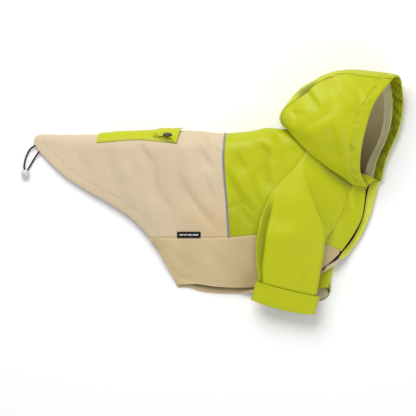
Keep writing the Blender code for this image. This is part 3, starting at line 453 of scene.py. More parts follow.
# %% Folds and rumples
FOLDS = (
    # from x, y       to x, y      bow  half width  depth
    (-100, 64, -80, 34, 2, 10, 1.5),
    (-80, 46, -63, -24, 8, 15, 2),
    (-66, 26, -57, -44, 3, 12.5, 0.8),
    (-44, 62, -36, 0, -4, 13.8, -0.97),
    (-84, 30, -84, -40, 4, 12.5, -0.86),
    (-22, 62, -3, 26, 3, 10, 1.8),
    (-9, 74, 4, 48, 2, 7, 1.2),
    (-50, 26, 8, -56, 7, 14, 1.9),
    (-16, 28, -1, -16, 2, 9, 1.1),
    (-140, 58, -116, 2, 8, 17.5, 0.86),
    (-186, 60, -160, 20, 4, 15, 0.65),
    (-118, 40, -100, -26, 4, 15, -0.76),
    (-34, -14, -4, -56, 3, 10, -0.76),
    (-70, -66, -20, -104, 6, 16.2, 0.7),
    (-14, -64, 34, -112, 6, 15, 0.6),
    (12, 28, 54, -36, 4, 15, 2.5),
    (69, 84, 88, 62, -1, 8, 2.2),
    (50, 66, 72, 36, -3, 12, 2.2),
    (66, 42, 74, -2, 4, 13, 2.4),
    (50, 26, 56, -24, 3, 12, 1.8),
    (30, -18, 48, -46, 1, 9, 1.2),
    (13, -22, 38, -10, 2, 7, 0.8),
    (26, 52, 42, 24, 2, 10, 1.1),
    (34, 76, 62, 58, 3, 14, -0.8),
    (88, 70, 106, 46, 3, 12, 0.9),
    (170, 12, 180, -40, 2, 9, 1.6),
    (184, 8, 190, -26, 1, 6, 0.9),
)
LATTICE = np.random.default_rng(11).uniform(-1, 1, (64, 64))
STEEP_FLANK, LONG_FLANK = 0.7, 1.35  # shares of a fold's half width
FOLD_ROUND = 0.03  # the smaller, the sharper the valley of a fold
PLANE_ROUND = 0.004  # the same where flat planes meet


def wander(x, y):
    """Smooth noise between -1 and 1, with one blotch to each unit."""
    x, y = np.broadcast_arrays(np.asarray(x, float), np.asarray(y, float))
    i, j = np.floor(x).astype(int), np.floor(y).astype(int)
    u, v = x - i, y - j
    u, v = (t * t * t * (t * (t * 6 - 15) + 10) for t in (u, v))
    size = len(LATTICE)
    corner = [[LATTICE[(j + b) % size, (i + a) % size] for a in (0, 1)] for b in (0, 1)]
    low = corner[0][0] * (1 - u) + corner[0][1] * u
    high = corner[1][0] * (1 - u) + corner[1][1] * u
    return low * (1 - v) + high * v


def rumple(x, y, size, turn=-0.9, stretch=2.6):
    """Noise drawn out in one direction, as loose cloth settles."""
    along = x * math.cos(turn) + y * math.sin(turn)
    across = -x * math.sin(turn) + y * math.cos(turn)
    return wander(along / (size * stretch) + 3.7, across / size + 9.1)


def crumple(x, y, size, turn, stretch=2.3):
    """Flat planes that meet in crisp valleys, as cloth keeps them once it was folded away."""
    return np.sqrt(rumple(x, y, size, turn, stretch) ** 2 + PLANE_ROUND) - 0.35


def crease(t):
    """Cross-section of a fold: two flat flanks, one long and one steeper, that meet in a valley."""
    t = np.where(t < 0, t / STEEP_FLANK, t / LONG_FLANK)
    inside = 1.0 - np.sqrt(t * t + FOLD_ROUND)
    return 0.5 * (inside + np.sqrt(inside * inside + FOLD_ROUND))


def fold_sum(x, y, folds):
    """Depth of all the folds of a table at a plan point."""
    total = np.zeros(np.broadcast(x, y).shape)
    for x0, y0, x1, y1, bow, width, depth in folds:
        way = np.array([x1 - x0, y1 - y0])
        length = np.linalg.norm(way)
        way = way / length
        along = ((x - x0) * way[0] + (y - y0) * way[1]) / length
        off = (x - x0) * way[1] - (y - y0) * way[0] - bow * 4 * along * (1 - along)
        spread = width * (0.7 + 0.5 * np.clip(along, 0, 1))
        taper = smoothstep(along, -0.12, 0.30) * (1 - smoothstep(along, 0.60, 1.15))
        total = total + depth * taper * crease(off / spread)
    return total


def to_line(x, y, line):
    """Distance of plan points from a line, and how far along it the nearest point lies."""
    line = np.asarray(line, float)[:, :2]
    best = np.full(np.broadcast(x, y).shape, 1e9)
    place = np.zeros(best.shape)
    walked = 0.0
    for start, end in zip(line[:-1], line[1:]):
        way = end - start
        length = np.linalg.norm(way)
        if length == 0:
            continue
        t = np.clip(((x - start[0]) * way[0] + (y - start[1]) * way[1]) / length**2, 0, 1)
        away = np.hypot(x - start[0] - t * way[0], y - start[1] - t * way[1])
        place = np.where(away < best, walked + t * length, place)
        best = np.minimum(away, best)
        walked += length
    return best, place


def groove(away, depth, width):
    """Depth of a soft groove at a distance from its middle."""
    return depth * np.exp(-((away / width) ** 2))


def puckers(away, along, height, reach, pitch):
    """Small gathers across a line of stitches, uneven in height and spacing."""
    broad = wander(along / pitch, away / (3.0 * reach) + 0.4)
    narrow = wander(along / (0.45 * pitch) + 7.0, away)
    return height * (broad + 0.5 * narrow) * np.exp(-((away / reach) ** 2))


print(len(FOLDS), "folds on the body")

# %% [markdown]
# ## The form of the body
# The near side rises from its lower edge towards the back, rolls over the fold and runs on as
# the far side, which lies flat.  Height is a function of the plan, so panels that share a seam
# share its height too, and whatever lies on the coat can ask where the cloth is.

# %% Lines of stitches on the body
HEM_STITCH_IN = 11.0


def beside(line, away):
    """The line moved sideways in the plan: to its left where `away` is positive."""
    line = np.asarray(line, float)[:, :2]
    way = np.gradient(line, axis=0)
    way /= np.linalg.norm(way, axis=1, keepdims=True)
    return line + np.column_stack([-way[:, 1], way[:, 0]]) * away


hem_line = through(HEM, 90)
hem_stitch = beside(hem_line, HEM_STITCH_IN)
hem_stitch = hem_stitch[hem_stitch[:, 1] < 66.0]
belly_x = np.linspace(CORNER_X + 0.5, 162.0, 80)
belly_line = np.column_stack([belly_x, belly_seam_y(belly_x)])
piped_y = np.linspace(-60.0, 76.0, 60)
piped_line = np.column_stack([piped_seam_x(piped_y), piped_y])
SEAMS = (
    # line      groove: depth, width   puckers: height, reach, pitch
    (hem_stitch, 0.35, 1.3, 0.22, 7.0, 9.0),
    (hem_line, 0.7, 1.1, 0.0, 1.0, 1.0),
    (belly_line, 0.8, 1.1, 0.22, 6.0, 11.0),
    (piped_line, 0.7, 1.8, 0.28, 7.0, 12.0),
)
print(len(SEAMS), "lines press into the near side, the hem's stitches", HEM_STITCH_IN, "mm from its edge")

# %% Height of the near side
BELLY_CURVE = 1.8  # how full the slope from the lower edge is
CORNER_BLEND = 14.0  # how softly the slopes from the hem and from the belly edge run together
FOLD_SCALE = 2.1  # folds of the body are this much deeper than their table says


def loft_height(x, y):
    """Height of the near side over the surface, before the fold of the back is rounded."""
    x, y = np.broadcast_arrays(np.asarray(x, float), np.asarray(y, float))
    to_hem, to_edge = (np.min(np.hypot(x[..., None] - line[:, 0], y[..., None] - line[:, 1]), axis=-1)
                       for line in (EDGE_LINE[:HEM_POINTS:2], EDGE_LINE[HEM_POINTS::3]))
    away = -CORNER_BLEND * np.log(np.exp(-to_hem / CORNER_BLEND) + np.exp(-to_edge / CORNER_BLEND))
    away = np.clip(away, 0, None)
    outside = (y < hem_y(x)) | (x > EDGE_LINE[-1, 0])
    rise = 1 - (1 - np.clip(np.where(outside, 0.0, away) / BELLY_RISE, 0, 1)) ** BELLY_CURVE
    low = spline(EDGE_HEIGHT["x"], EDGE_HEIGHT["z"], x)
    return low + (spline(BACK["x"], BACK["thick"], x) - low) * rise


def roundness(x, y):
    """Share of the way round the fold of the back: 0 on the outline, 1 past the rounding."""
    share = np.clip((back_y(x) - y) / back_round(x), 0, 1)
    return (1 - (1 - share) ** FOLD_POWER) ** (1 / FOLD_POWER)


def soft_relief(x, y):
    """How far folds and rumples move the near side up (or down)."""
    up = 0.35 * rumple(x, y, 24.0) + 0.07 * rumple(x, y, 9.0, turn=-1.1) + 0.03 * wander(x / 3.1, y / 3.3)
    loose = smoothstep(x, -190.0, -110.0) * smoothstep(back_y(x) - y, 4.0, 26.0)
    loose = loose * smoothstep(y - belly_seam_y(x), -2.0, 26.0) * (1 - 0.6 * smoothstep(x, 96.0, 126.0))
    return up + 1.6 * loose * crumple(x, y, 33.0, turn=-1.2) - FOLD_SCALE * fold_sum(x, y, FOLDS)


def relief(x, y):
    """The same with the grooves and puckers of its seams and hems."""
    x, y = np.broadcast_arrays(np.asarray(x, float), np.asarray(y, float))
    up = soft_relief(x, y)
    for line, depth, width, height, reach, pitch in SEAMS:
        away, along = to_line(x, y, line)
        up = up - groove(away, depth, width) + puckers(away, along, height, reach, pitch)
    return up


def near_height(x, y):
    """Height of the near side's outer face over the surface."""
    x, y = np.broadcast_arrays(np.asarray(x, float), np.asarray(y, float))
    return loft_height(x, y) * (0.5 + 0.5 * roundness(x, y)) + relief(x, y) * roundness(x, y)


print("the near side stands", round(float(near_height(-60.0, 30.0)), 1), "mm high at the saddle")

# %% Height of the far side, and of points on either side
def far_lift(x, y):
    """How far the far side is lifted where its own sleeve lies under it."""
    over = smoothstep(x, 24, 50) * (1 - smoothstep(x, 155, 177))
    return FAR_SLEEVE_ROOM * over * (1 - smoothstep(y, -58, -46))


def far_crease(x, y):
    """Low creases of the far side, where its cloth is lifted off the surface."""
    return 1.1 * np.clip(rumple(x, y, 17.0, turn=0.7) - 0.25, 0, 1)


def far_height(x, y):
    """Height of the far side, which lies flat on the surface but for its creases."""
    return loft_height(x, y) * (0.5 - 0.5 * roundness(x, y)) + far_lift(x, y) + far_crease(x, y)


def on_near(plan):
    """Points of the near side over a plan."""
    x, y = plan[..., 0], plan[..., 1]
    return np.stack([x, y, near_height(x, y)], axis=-1)


def on_far(plan):
    """Points of the far side under a plan."""
    x, y = plan[..., 0], plan[..., 1]
    return np.stack([x, y, far_height(x, y)], axis=-1)


def on_fold(x, angle, above=0.0):
    """Points on the fold of the back: 90 degrees is its top, 0 its outline, -90 its underside."""
    turn = np.radians(angle)
    reach = np.abs(np.cos(turn)) ** (2 / FOLD_POWER)
    rise = np.sign(np.sin(turn)) * np.abs(np.sin(turn)) ** (2 / FOLD_POWER)
    y = back_y(x) - back_round(x) * (1 - reach)
    z = loft_height(x, y) * (0.5 + 0.5 * rise) + relief(x, y) * np.clip(rise, 0, 1)
    z = z + far_crease(x, y) * np.clip(-rise, 0, 1)
    wobble = 0.35 * wander(x / 13.0, angle / 40.0) * np.cos(turn)
    return np.stack([x, y + (above + wobble) * np.cos(turn), z + above * np.sin(turn)], axis=-1)


def fold_angle(x, y):
    """The angle of on_fold at which the fold of the back passes over a plan point."""
    reach = np.clip(1 - (back_y(x) - y) / back_round(x), 0, 1)
    return np.degrees(np.arccos(reach ** (FOLD_POWER / 2)))


TURN = np.linspace(86, -86, 41)


def over_the_back(near_plan, far_plan, across):
    """Rows from the near side's lower edge, over the fold of the back, to the far side's."""
    rows = [on_near(near_plan)]
    for angle in TURN:
        x = across(angle)
        rows.append(on_fold(x, np.full_like(x, angle))[None])
    rows.append(on_far(far_plan[::-1]))
    return np.concatenate(rows)


def seam_swing(angle):
    """How far the piped seam has swung towards the head at an angle of the fold."""
    return SEAM_SWING * np.cos(np.radians(angle)) ** 2


print("the far side is lifted", round(float(far_lift(100.0, -100.0)), 1), "mm over its own sleeve")

# %% [markdown]
# ## From a grid to a sheet of cloth
# A cut piece starts as a grid primitive.  Its points are laid on the form, the cloth's own
# millimetres are written on them, and Solidify gives the sheet a wall under its outer face.
# How hollow the cloth lies is measured on the grid itself, and shade is painted into the folds.

# %% Sheets
CLOTH = 0.9  # wall of a sheet
NARROWEST = 10.5  # width of the narrowest cut, with its seam allowance
SMOOTH_UP_TO = 60  # degrees between faces that still shade as one
HOLLOW_SCALES = (
    # cells across, rise that still counts as flat, rise of a deep hollow, share of the whole
    (1, 0.16, 0.40, 0.7),
    (6, 0.2, 2.6, 0.35),
)


def lengths(grid, axis):
    """Millimetres along one axis of a grid, measured on every line of it."""
    step = np.linalg.norm(np.diff(grid, axis=axis), axis=-1)
    start = np.zeros_like(np.take(step, [0], axis=axis))
    return np.concatenate([start, np.cumsum(step, axis=axis)], axis=axis)


def cell_area(grid):
    """Square millimetres of a grid, two triangles a cell."""
    across, down = np.diff(grid, axis=1), np.diff(grid, axis=0)
    halves = np.linalg.norm(np.cross(across[:-1], down[:, :-1]), axis=-1)
    halves = halves + np.linalg.norm(np.cross(across[1:], down[:, 1:]), axis=-1)
    return float(halves.sum() / 2)


def normals(grid):
    """Unit normals of a grid of points."""
    down = np.gradient(grid, axis=0)
    along = np.gradient(grid, axis=1)
    normal = np.cross(along, down)
    return normal / np.maximum(np.linalg.norm(normal, axis=-1, keepdims=True), 1e-9)


def hollows(grid):
    """0 where the cloth lies flat or proud, towards 1 where it lies in a fold or a groove; sheets take it
    as painted shade.
    """
    face = normals(grid)
    total = np.zeros(grid.shape[:2])
    for span, least, scale, share in HOLLOW_SCALES:
        wide = np.pad(grid, ((span, span), (span, span), (0, 0)), mode="edge")
        rows, columns = grid.shape[:2]
        around = (wide[:rows, span:-span] + wide[2 * span:, span:-span]
                  + wide[span:-span, :columns] + wide[span:-span, 2 * span:]) / 4
        rise = np.sum((around - grid) * face, axis=-1)
        rise[:span] = rise[-span:] = 0
        rise[:, :span] = rise[:, -span:] = 0
        total += np.clip((rise - least) / scale, 0, 1) * share
    return np.clip(total, 0, 1)


def lay(name, grid, look, painted_shade=None):
    """A grid primitive whose points are laid on the given ones, facing along their normals."""
    rows, columns = grid.shape[:2]
    bpy.ops.mesh.primitive_grid_add(x_subdivisions=columns - 1, y_subdivisions=rows - 1, size=1.0)
    made = bpy.context.object
    made.name = name
    mesh = made.data
    if len(mesh.vertices) != rows * columns:
        raise SystemExit(f"{name}: the grid has {len(mesh.vertices)} points, not {rows} x {columns}")
    mesh.vertices.foreach_set("co", metres(grid).ravel().astype(np.float32))
    marked = mesh.attributes.new("cloth", "FLOAT_VECTOR", "POINT")
    # painted shade of each point: as given, or else that of its folds
    painted_shade = hollows(grid) if painted_shade is None else painted_shade
    cloth = np.stack([lengths(grid, 1), lengths(grid, 0), painted_shade], axis=-1)
    marked.data.foreach_set("vector", cloth.ravel().astype(np.float32))
    mesh.materials.clear()
    mesh.materials.append(look)
    mesh.update()
    return made


def pick(*parts):
    """Selects these pieces alone, the first of them as the active one."""
    bpy.ops.object.select_all(action="DESELECT")
    for part in parts:
        part.select_set(True)
    bpy.context.view_layer.objects.active = parts[0]


def join(name, parts):
    """Several meshes become one piece of this name."""
    pick(*parts)
    if len(parts) > 1:
        bpy.ops.object.join()
    parts[0].name = name
    parts[0].data.name = name
    return parts[0]


def weld(made, gap=0.02):
    """Edges of grids that lie on each other become one seamless sheet."""
    pick(made)
    bpy.ops.object.mode_set(mode="EDIT")
    bpy.ops.mesh.select_all(action="SELECT")
    bpy.ops.mesh.remove_doubles(threshold=gap * MM)
    bpy.ops.object.mode_set(mode="OBJECT")
    return made


def wall(made, thickness=CLOTH):
    """The sheet gets its wall: the given face stays where it is."""
    pick(made)
    solid = made.modifiers.new("wall", "SOLIDIFY")
    solid.thickness = thickness * MM
    solid.offset = -1.0
    solid.use_even_offset = False
    bpy.ops.object.modifier_apply(modifier=solid.name)
    for point in made.data.vertices:
        point.co.z = max(point.co.z, 0.0)
    bpy.ops.object.shade_smooth_by_angle(angle=math.radians(SMOOTH_UP_TO))
    return made


def stated(made, replaces, grids):
    """Hangs a finished sheet on the frame, hides the parts that it replaces, and prints the size of its
    cut.
    """
    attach(made, "root")
    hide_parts(*replaces)
    area = sum(cell_area(grid) for grid in grids)
    length = max(float(lengths(grid, 1).max()) for grid in grids)
    width = sum(float(lengths(grid, 0).max()) for grid in grids)
    width = max(width, area / length * 1.001, NARROWEST)
    width * MM
    area * MM * MM
    print(f"{made.name}: cut {length:.0f} x {width:.0f} mm, {len(made.data.polygons)} faces")


print("sheets have a wall of", CLOTH, "mm")

# %% [markdown]
# ## Drawcord and stopper
# A thin black elastic cord runs in the rear hem.  Its loop leaves the hem twice, and both
# strands enter a round stopper, in which the loop turns back.  It lies on the surface as it was
# left, so its route is a list of points that a smooth curve runs through.  A tube swept along
# that curve keeps its thickness everywhere, and the stopper is a profile turned about the cords.

# %% Tubes and turned pieces
UP = (0.0, 0.0, 1.0)
TURNED_SIDES = 48
TURNED_SHARP = 50  # degrees


def tube_grid(path, radius, sides=20, ends=3, across=(1.0, 0.0, 0.0)):
    """A round tube along a path as a closed ring grid, rounded to a point at both ends."""
    path = np.asarray(path, float)
    way = np.gradient(path, axis=0)
    way /= np.linalg.norm(way, axis=1, keepdims=True)
    side = np.cross(way, across)
    side /= np.linalg.norm(side, axis=1, keepdims=True)
    up = np.cross(side, way)
    turn = np.linspace(0, 2 * math.pi, sides + 1)
    spoke = side[:, None] * np.cos(turn)[None, :, None] + up[:, None] * np.sin(turn)[None, :, None]
    body = path[:, None] + spoke * radius
    caps = [[], []]
    for k in range(ends, 0, -1):
        t = math.pi / 2 * k / ends
        for end, sign, cap in ((0, -1, caps[0]), (-1, 1, caps[1])):
            tip = path[end] + way[end] * sign * radius * math.sin(t)
            cap.append(tip + spoke[end] * radius * math.cos(t))
    return np.concatenate([np.array(caps[0]), body, np.array(caps[1][::-1])])


def closed_ring(name, grid, look, gap=0.012):
    """A ring grid whose seam and poles are welded, with its faces outward."""
    made = weld(lay(name, grid, look, np.zeros(grid.shape[:2])), gap=gap)
    bpy.ops.object.mode_set(mode="EDIT")
    bpy.ops.mesh.select_all(action="SELECT")
    bpy.ops.mesh.normals_make_consistent(inside=False)
    bpy.ops.object.mode_set(mode="OBJECT")
    bpy.ops.object.shade_smooth_by_angle(angle=math.radians(TURNED_SHARP))
    return made


def turned_grid(profile, centre, axis):
    """A profile of (radius, height) turned about an axis through a centre."""
    axis = np.asarray(axis, float) / np.linalg.norm(axis)
    side = np.cross(axis, (1.0, 0.0, 0.0))
    side /= np.linalg.norm(side)
    other = np.cross(axis, side)
    turn = np.linspace(0, 2 * math.pi, TURNED_SIDES + 1)
    spoke = side[None] * np.cos(turn)[:, None] + other[None] * np.sin(turn)[:, None]
    return np.array([np.asarray(centre) + axis * height + spoke * radius for radius, height in profile])


print("turned pieces have", TURNED_SIDES, "sides")

# %% Drawcord and stopper
CORD_DIAMETER = 2.2
CORD_OUT = ((-235.5, 58.9, 4.4), (-241.4, 54.6, 3.2), (-245.8, 46.7, 1.9), (-248.6, 37.7, 2.4),
            (-249.4, 32.8, 3.8), (-249.05, 28.6, 5.1))
CORD_TURN = ((-249.7, 24.6, 5.8), (-250.9, 21.6, 5.85), (-250.1, 19.2, 5.85), (-247.9, 18.2, 5.85),
             (-245.6, 19.1, 5.85), (-244.8, 21.6, 5.85), (-244.9, 24.6, 5.6))
CORD_BACK = ((-244.65, 27.8, 4.9), (-242.3, 31.6, 3.5), (-238.6, 38, 2.2), (-234.4, 44.8, 3.4),
             (-230.1, 51, 5.4))
STOPPER = (-247.8, 22.5, 5.85)
STOPPER_RADIUS = 5.85
STOPPER_WALL = 0.75
MOUTH_RADIUS = 3.75
POLE = 0.01  # radius at which a profile meets its axis

cord_path = through(CORD_OUT + CORD_TURN + CORD_BACK, 240)
cord = closed_ring("drawcord", tube_grid(cord_path, CORD_DIAMETER / 2, sides=16, across=UP), braid)
mouth_angle = math.asin(MOUTH_RADIUS / STOPPER_RADIUS)
cavity = STOPPER_RADIUS - STOPPER_WALL
inner_mouth = math.asin(MOUTH_RADIUS / cavity)
profile = [(max(STOPPER_RADIUS * math.sin(a), POLE), -STOPPER_RADIUS * math.cos(a))
           for a in np.linspace(0, math.pi - mouth_angle, 22)]
profile += [(MOUTH_RADIUS - 0.15, profile[-1][1] - 0.05)]  # the mouth's rounded lip
profile += [(max(cavity * math.sin(a), POLE), -cavity * math.cos(a))
            for a in np.linspace(math.pi - inner_mouth, 0, 14)]
mouth_way = (np.array(CORD_OUT[-1]) + CORD_BACK[0]) / 2 - STOPPER
stopper = closed_ring("stopper", turned_grid(profile, STOPPER, mouth_way), pearl)
for made, slot, replaced in ((cord, "black", ("tail_cord_upper", "tail_cord_lower")),
                             (stopper, "white", ("cord_stopper",))):
    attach(made, "root")
    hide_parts(*replaced)
cord_length = float(np.linalg.norm(np.diff(cord_path, axis=0), axis=1).sum())
print(f"cord: {cord_length:.1f} mm from one hem exit to the other, through the stopper")

# %% [markdown]
# ## Stitches
# A lockstitch shows as short threads on the cloth, each sinking through it at both ends.  One
# thin tube per line follows the cloth and dips into it at every needle hole, so the rows read as
# stitches from near and as a faint line from further off.

# %% Thread along a line
STITCH = 2.6
THREAD_RADIUS = 0.20
STITCH_WAVE = np.array([-0.30, 0.02, 0.13, 0.13, 0.02])  # height over the cloth along one stitch
STITCH_WELD = 0.004


def beside_edge(grid, away, side):
    """Points on a grid that lie `away` from one of its sides: low, high, left or right."""
    turned = {"low": grid, "high": grid[::-1],
              "left": grid.swapaxes(0, 1), "right": grid[:, ::-1].swapaxes(0, 1)}[side]
    walked = lengths(turned, 0)
    return np.array([[np.interp(away, walked[:, j], turned[:, j, k]) for k in range(3)]
                     for j in range(turned.shape[1])])


def stitched(name, lines, thread, radius=THREAD_RADIUS):
    """Rows of stitches along lines of points on the cloth, joined to one piece."""
    rows = []
    for number, line in enumerate(lines):
        line = np.asarray(line, float)
        walked = np.concatenate([[0.0], np.cumsum(np.linalg.norm(np.diff(line, axis=0), axis=1))])
        count = max(int(walked[-1] / STITCH), 2) * len(STITCH_WAVE) + 1
        at = np.linspace(0, walked[-1], count)
        path = np.stack([np.interp(at, walked, line[:, k]) for k in range(3)], axis=1)
        path[:, 2] += np.resize(STITCH_WAVE, count)
        tube = tube_grid(path, radius, sides=6, ends=1, across=UP)
        rows.append(closed_ring(f"{name}_{number}", tube, thread, STITCH_WELD))
    made = join(name, rows)
    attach(made, "root")
    return made


print("a stitch is", STITCH, "mm long, its thread", 2 * THREAD_RADIUS, "mm thick")

# %% [markdown]
# ## Back and shoulder panels
# The rear of the coat is one beige piece, from the belly seam of one side over the back to the
# other.  The green piece in front of it runs from the piped seam to the neckline and the raglan
# seams.  Both are cut wide and get their shape from the fold of the back alone.

# %% Label
LABEL_BOX = (-50.6, -20.0, -61.0, -53.0)
LABEL_DASHES = ((-47.4, -42.4), (-41.2, -38.0), (-36.8, -31.6), (-30.4, -23.2))
LABEL_LINE = -57.0
DASH_HALF = 0.75
LABEL_ABOVE, DASHES_ABOVE = 1.25, 1.36  # over the near side
LABEL_EDGE_DROP = 0.35
LABEL_WALL, DASH_WALL = 0.7, 0.12
print("label:", round(LABEL_BOX[1] - LABEL_BOX[0], 1), "x", LABEL_BOX[3] - LABEL_BOX[2], "mm")


def woven_patch():
    """The black label, sewn on above the belly seam, with plain woven dashes on it."""
    x0, x1, y0, y1 = LABEL_BOX
    plan = np.stack(np.meshgrid(np.linspace(x0, x1, 62), np.linspace(y0, y1, 20)), axis=-1)
    lx, ly = plan[..., 0], plan[..., 1]
    to_edge = np.minimum(np.minimum(lx - x0, x1 - lx), y1 - ly)
    height = near_height(lx, ly) + LABEL_ABOVE - LABEL_EDGE_DROP * (1 - rounded(to_edge, 1.0))
    patch_grid = np.stack([lx, ly, height], axis=-1)
    patch_made = wall(lay("label_patch", patch_grid, woven_label), thickness=LABEL_WALL)
    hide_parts("label")
    dashes = []
    for start, end in LABEL_DASHES:
        dash_y = (LABEL_LINE - DASH_HALF, LABEL_LINE + DASH_HALF)
        marks = np.stack(np.meshgrid(np.linspace(start, end, 8), dash_y), axis=-1)
        top = near_height(marks[..., 0], marks[..., 1]) + DASHES_ABOVE
        dashes.append(lay("dash", np.concatenate([marks, top[..., None]], axis=-1), label_thread))
    dashes = wall(join("label_marks", dashes), thickness=DASH_WALL)
    for made in (patch_made, dashes):
        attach(made, "root")
    return patch_made, dashes


# %% Back panel
GAP = 0.06  # between two sheets that meet in a seam
BESIDE_PIPING = 0.6  # from the middle of the piped seam to the sheet on either side
UP_PACE = 1.35  # rows of the near side lie closer together towards its lower edge
NEAR_ROWS = 105


def lower_rows(foot, top, count):
    """The rows' places in the plan, from the lower edge up to the fold of the back."""
    return foot + (top - foot) * (np.linspace(0, 1, count) ** UP_PACE)[:, None]


share = paced(190, 0.0, 0.75) ** 1.1
foot_x = BACK["x"][0] + share * (PIPING_X - BESIDE_PIPING - BACK["x"][0])
foot_x[np.argmin(abs(foot_x - CORNER_X))] = CORNER_X
foot_y = np.where(foot_x <= CORNER_X, hem_y(foot_x), belly_seam_y(foot_x) + GAP)
top_y = back_y(foot_x) - back_round(foot_x)
rows_y = lower_rows(foot_y, top_y, NEAR_ROWS)
near_seam = share**6  # how much of the seam's own course a column takes
near_plan = np.stack([foot_x + (piped_seam_x(rows_y) - PIPING_X) * near_seam, rows_y], axis=-1)
back_grid = over_the_back(near_plan, near_plan[::8],
                          lambda angle: near_plan[-1, :, 0] + seam_swing(angle) * near_seam)
# painted shade: the back panel darker low down towards the sleeve, and in its folds
lower_shade = smoothstep(back_grid[..., 0], -80.0, 0.0) * smoothstep(-back_grid[..., 1], -20.0, 45.0)
back = wall(lay("back", back_grid, sand, np.maximum(hollows(back_grid), 0.55 * lower_shade)))
on_back = hem_stitch[hem_stitch[:, 1] > belly_seam_y(hem_stitch[:, 0]) + 0.8]
above_seam = belly_line[belly_line[:, 0] < PIPING_X - 2.5] + (0.0, 2.2)
back_rows = stitched("back_stitches", [on_near(on_back), on_near(above_seam)], THREADS["sand"])
label, label_marks = woven_patch()
stated(back, ["back_panel"], [back_grid])

# %% Shoulder panel
NEAR_RAGLAN = ((67, -56), (68, -28), (74.5, -7), (83, 6.4), (93.4, 18.2), (103, 28),
               (112.6, 38.6), (120, 51), (119.6, 61))
FAR_RAGLAN = ((49.9, -59.5), (49.9, -43.5), (55.4, -26.5), (67.4, -7.5), (79.4, 7.5), (92.4, 21.5),
              (105.4, 35), (117.2, 51.6), (112.4, 61.2))
NECK_FAR = ((90.8, 83), (104, 71), (122, 51.4), (146, 32.4), (168, 17.8), (188, 9.6), (200, 8.6),
            (214.2, 12.4))
NAPE_X = 92.0
TOWARDS_NECK = paced(90, 0.75, 0.0)  # columns, closer together beside the piping

left_y = lower_rows(belly_seam_y(PIPING_X) + GAP, back_y(PIPING_X) - back_round(PIPING_X), NEAR_ROWS)[:, 0]
left = np.stack([piped_seam_x(left_y) + BESIDE_PIPING, left_y], axis=-1)
sides = []
for seam in (NEAR_RAGLAN, FAR_RAGLAN):
    right = through(seam, np.linspace(0, 1, len(left)) ** UP_PACE)
    low = left[0] + (right[0] - left[0]) * TOWARDS_NECK[:, None]
    low[:, 1] = belly_seam_y(low[:, 0]) + GAP
    right[0] = low[-1]
    high = left[-1] + (right[-1] - left[-1]) * TOWARDS_NECK[:, None]
    high[:, 1] = back_y(high[:, 0]) - back_round(high[:, 0])
    sides.append(patch(low, high, left, np.concatenate([right[:-1], high[-1:]])))
neck = through(NECK_FAR, 60)


def neckline(angle):
    """The columns of the shoulder panel at an angle of the fold, up to the neckline."""
    y = on_fold(np.array([NAPE_X]), np.array([float(angle)]))[0, 1]
    end = np.interp(-y, -neck[:, 1], neck[:, 0]) - 1.2
    if angle > 0:
        end += 2.0 * math.sin(math.radians(angle))
    first = left[-1, 0] + seam_swing(angle)
    return first + (end - first) * TOWARDS_NECK


shoulder_grid = over_the_back(sides[0], sides[1][::4], neckline)
# painted shadow of the hood along its lower edge, and painted shade lower down and in the folds
hood_shadow = 0.8 * groove(to_line(shoulder_grid[..., 0], shoulder_grid[..., 1], HOOD_EDGE)[0], 1.0, 3.4)
lower_shade = 0.08 + 0.28 * smoothstep(-shoulder_grid[..., 1], -20.0, 40.0)
shoulder_shade = np.clip(hollows(shoulder_grid) + lower_shade + hood_shadow, 0, 1)
shoulder = wall(lay("shoulder", shoulder_grid, lime, shoulder_shade))
stated(shoulder, ["shoulder_panel"], [shoulder_grid])

# %% [markdown]
# ## Belly and chest panels
# Below the long seam each side has a tan belly panel, and in front of the sleeve a green chest
# panel that ends at the closure.  The near ones rise from their free edge; the far ones lie on
# the surface, lifted only where the far sleeve is folded under them.

# %% Belly panels
columns = 170
x = np.linspace(CORNER_X + 0.8, 161.4, columns)
seam_line = np.stack([x, belly_seam_y(x) - GAP], axis=-1)
corner_hem = EDGE_LINE[(EDGE_LINE[:, 0] >= CORNER_X) & (EDGE_LINE[:, 0] <= NEAR_EDGE[0][0])]
for name, edge, stop, count, replaced in (
    ("belly_near", NEAR_EDGE, 161.8, 60, "side_panel_near"),
    ("belly_far", FAR_EDGE, 162.0, 24, "side_panel_far"),
):
    line = through(edge, 400)
    line = line[line[:, 0] <= stop]
    low = through(line[::4], columns)
    high = seam_line.copy()
    if name == "belly_far":
        high[:, 1] -= 12.0 * smoothstep(high[:, 0], 138.0, 160.0)
    left = through(np.concatenate([low[:1], corner_hem[-8::-6], high[:1]]), count)
    right = np.linspace(low[-1], high[-1], count)
    rows = paced(count, 0.6, 0.8)
    left, right = through(left, rows), through(right, rows)
    plan = patch(low, high, left, right)
    grid = on_near(plan) if name == "belly_near" else on_far(plan)[:, ::-1]
    # painted shade: the near belly panel darker towards the sleeve, along its hem band and in its folds;
    # the far one gets a painted shadow under the near edge
    if name == "belly_near":
        in_hem = 1 - smoothstep(to_line(grid[..., 0], grid[..., 1], corner_hem)[0], 8.0, 11.0)
        shade_mask = np.max([hollows(grid), 0.6 * smoothstep(grid[..., 0], -10.0, 50.0), 0.45 * in_hem], axis=0)
    else:
        to_near_edge = to_line(grid[..., 0], grid[..., 1], through(NEAR_EDGE, 60))[0]
        shade_mask = groove(to_near_edge, 0.9, 2.2) * smoothstep(grid[..., 0], -34.0, -24.0)
    panel = wall(lay(name, grid, tan if name == "belly_near" else tan_gap_shaded, shade_mask))
    rows = []
    if name == "belly_near":
        on_belly = hem_stitch[hem_stitch[:, 1] < belly_seam_y(hem_stitch[:, 0]) - 0.8]
        rows = [stitched("belly_stitches", [on_near(on_belly)], THREADS["tan"])]
    stated(panel, [replaced], [grid])

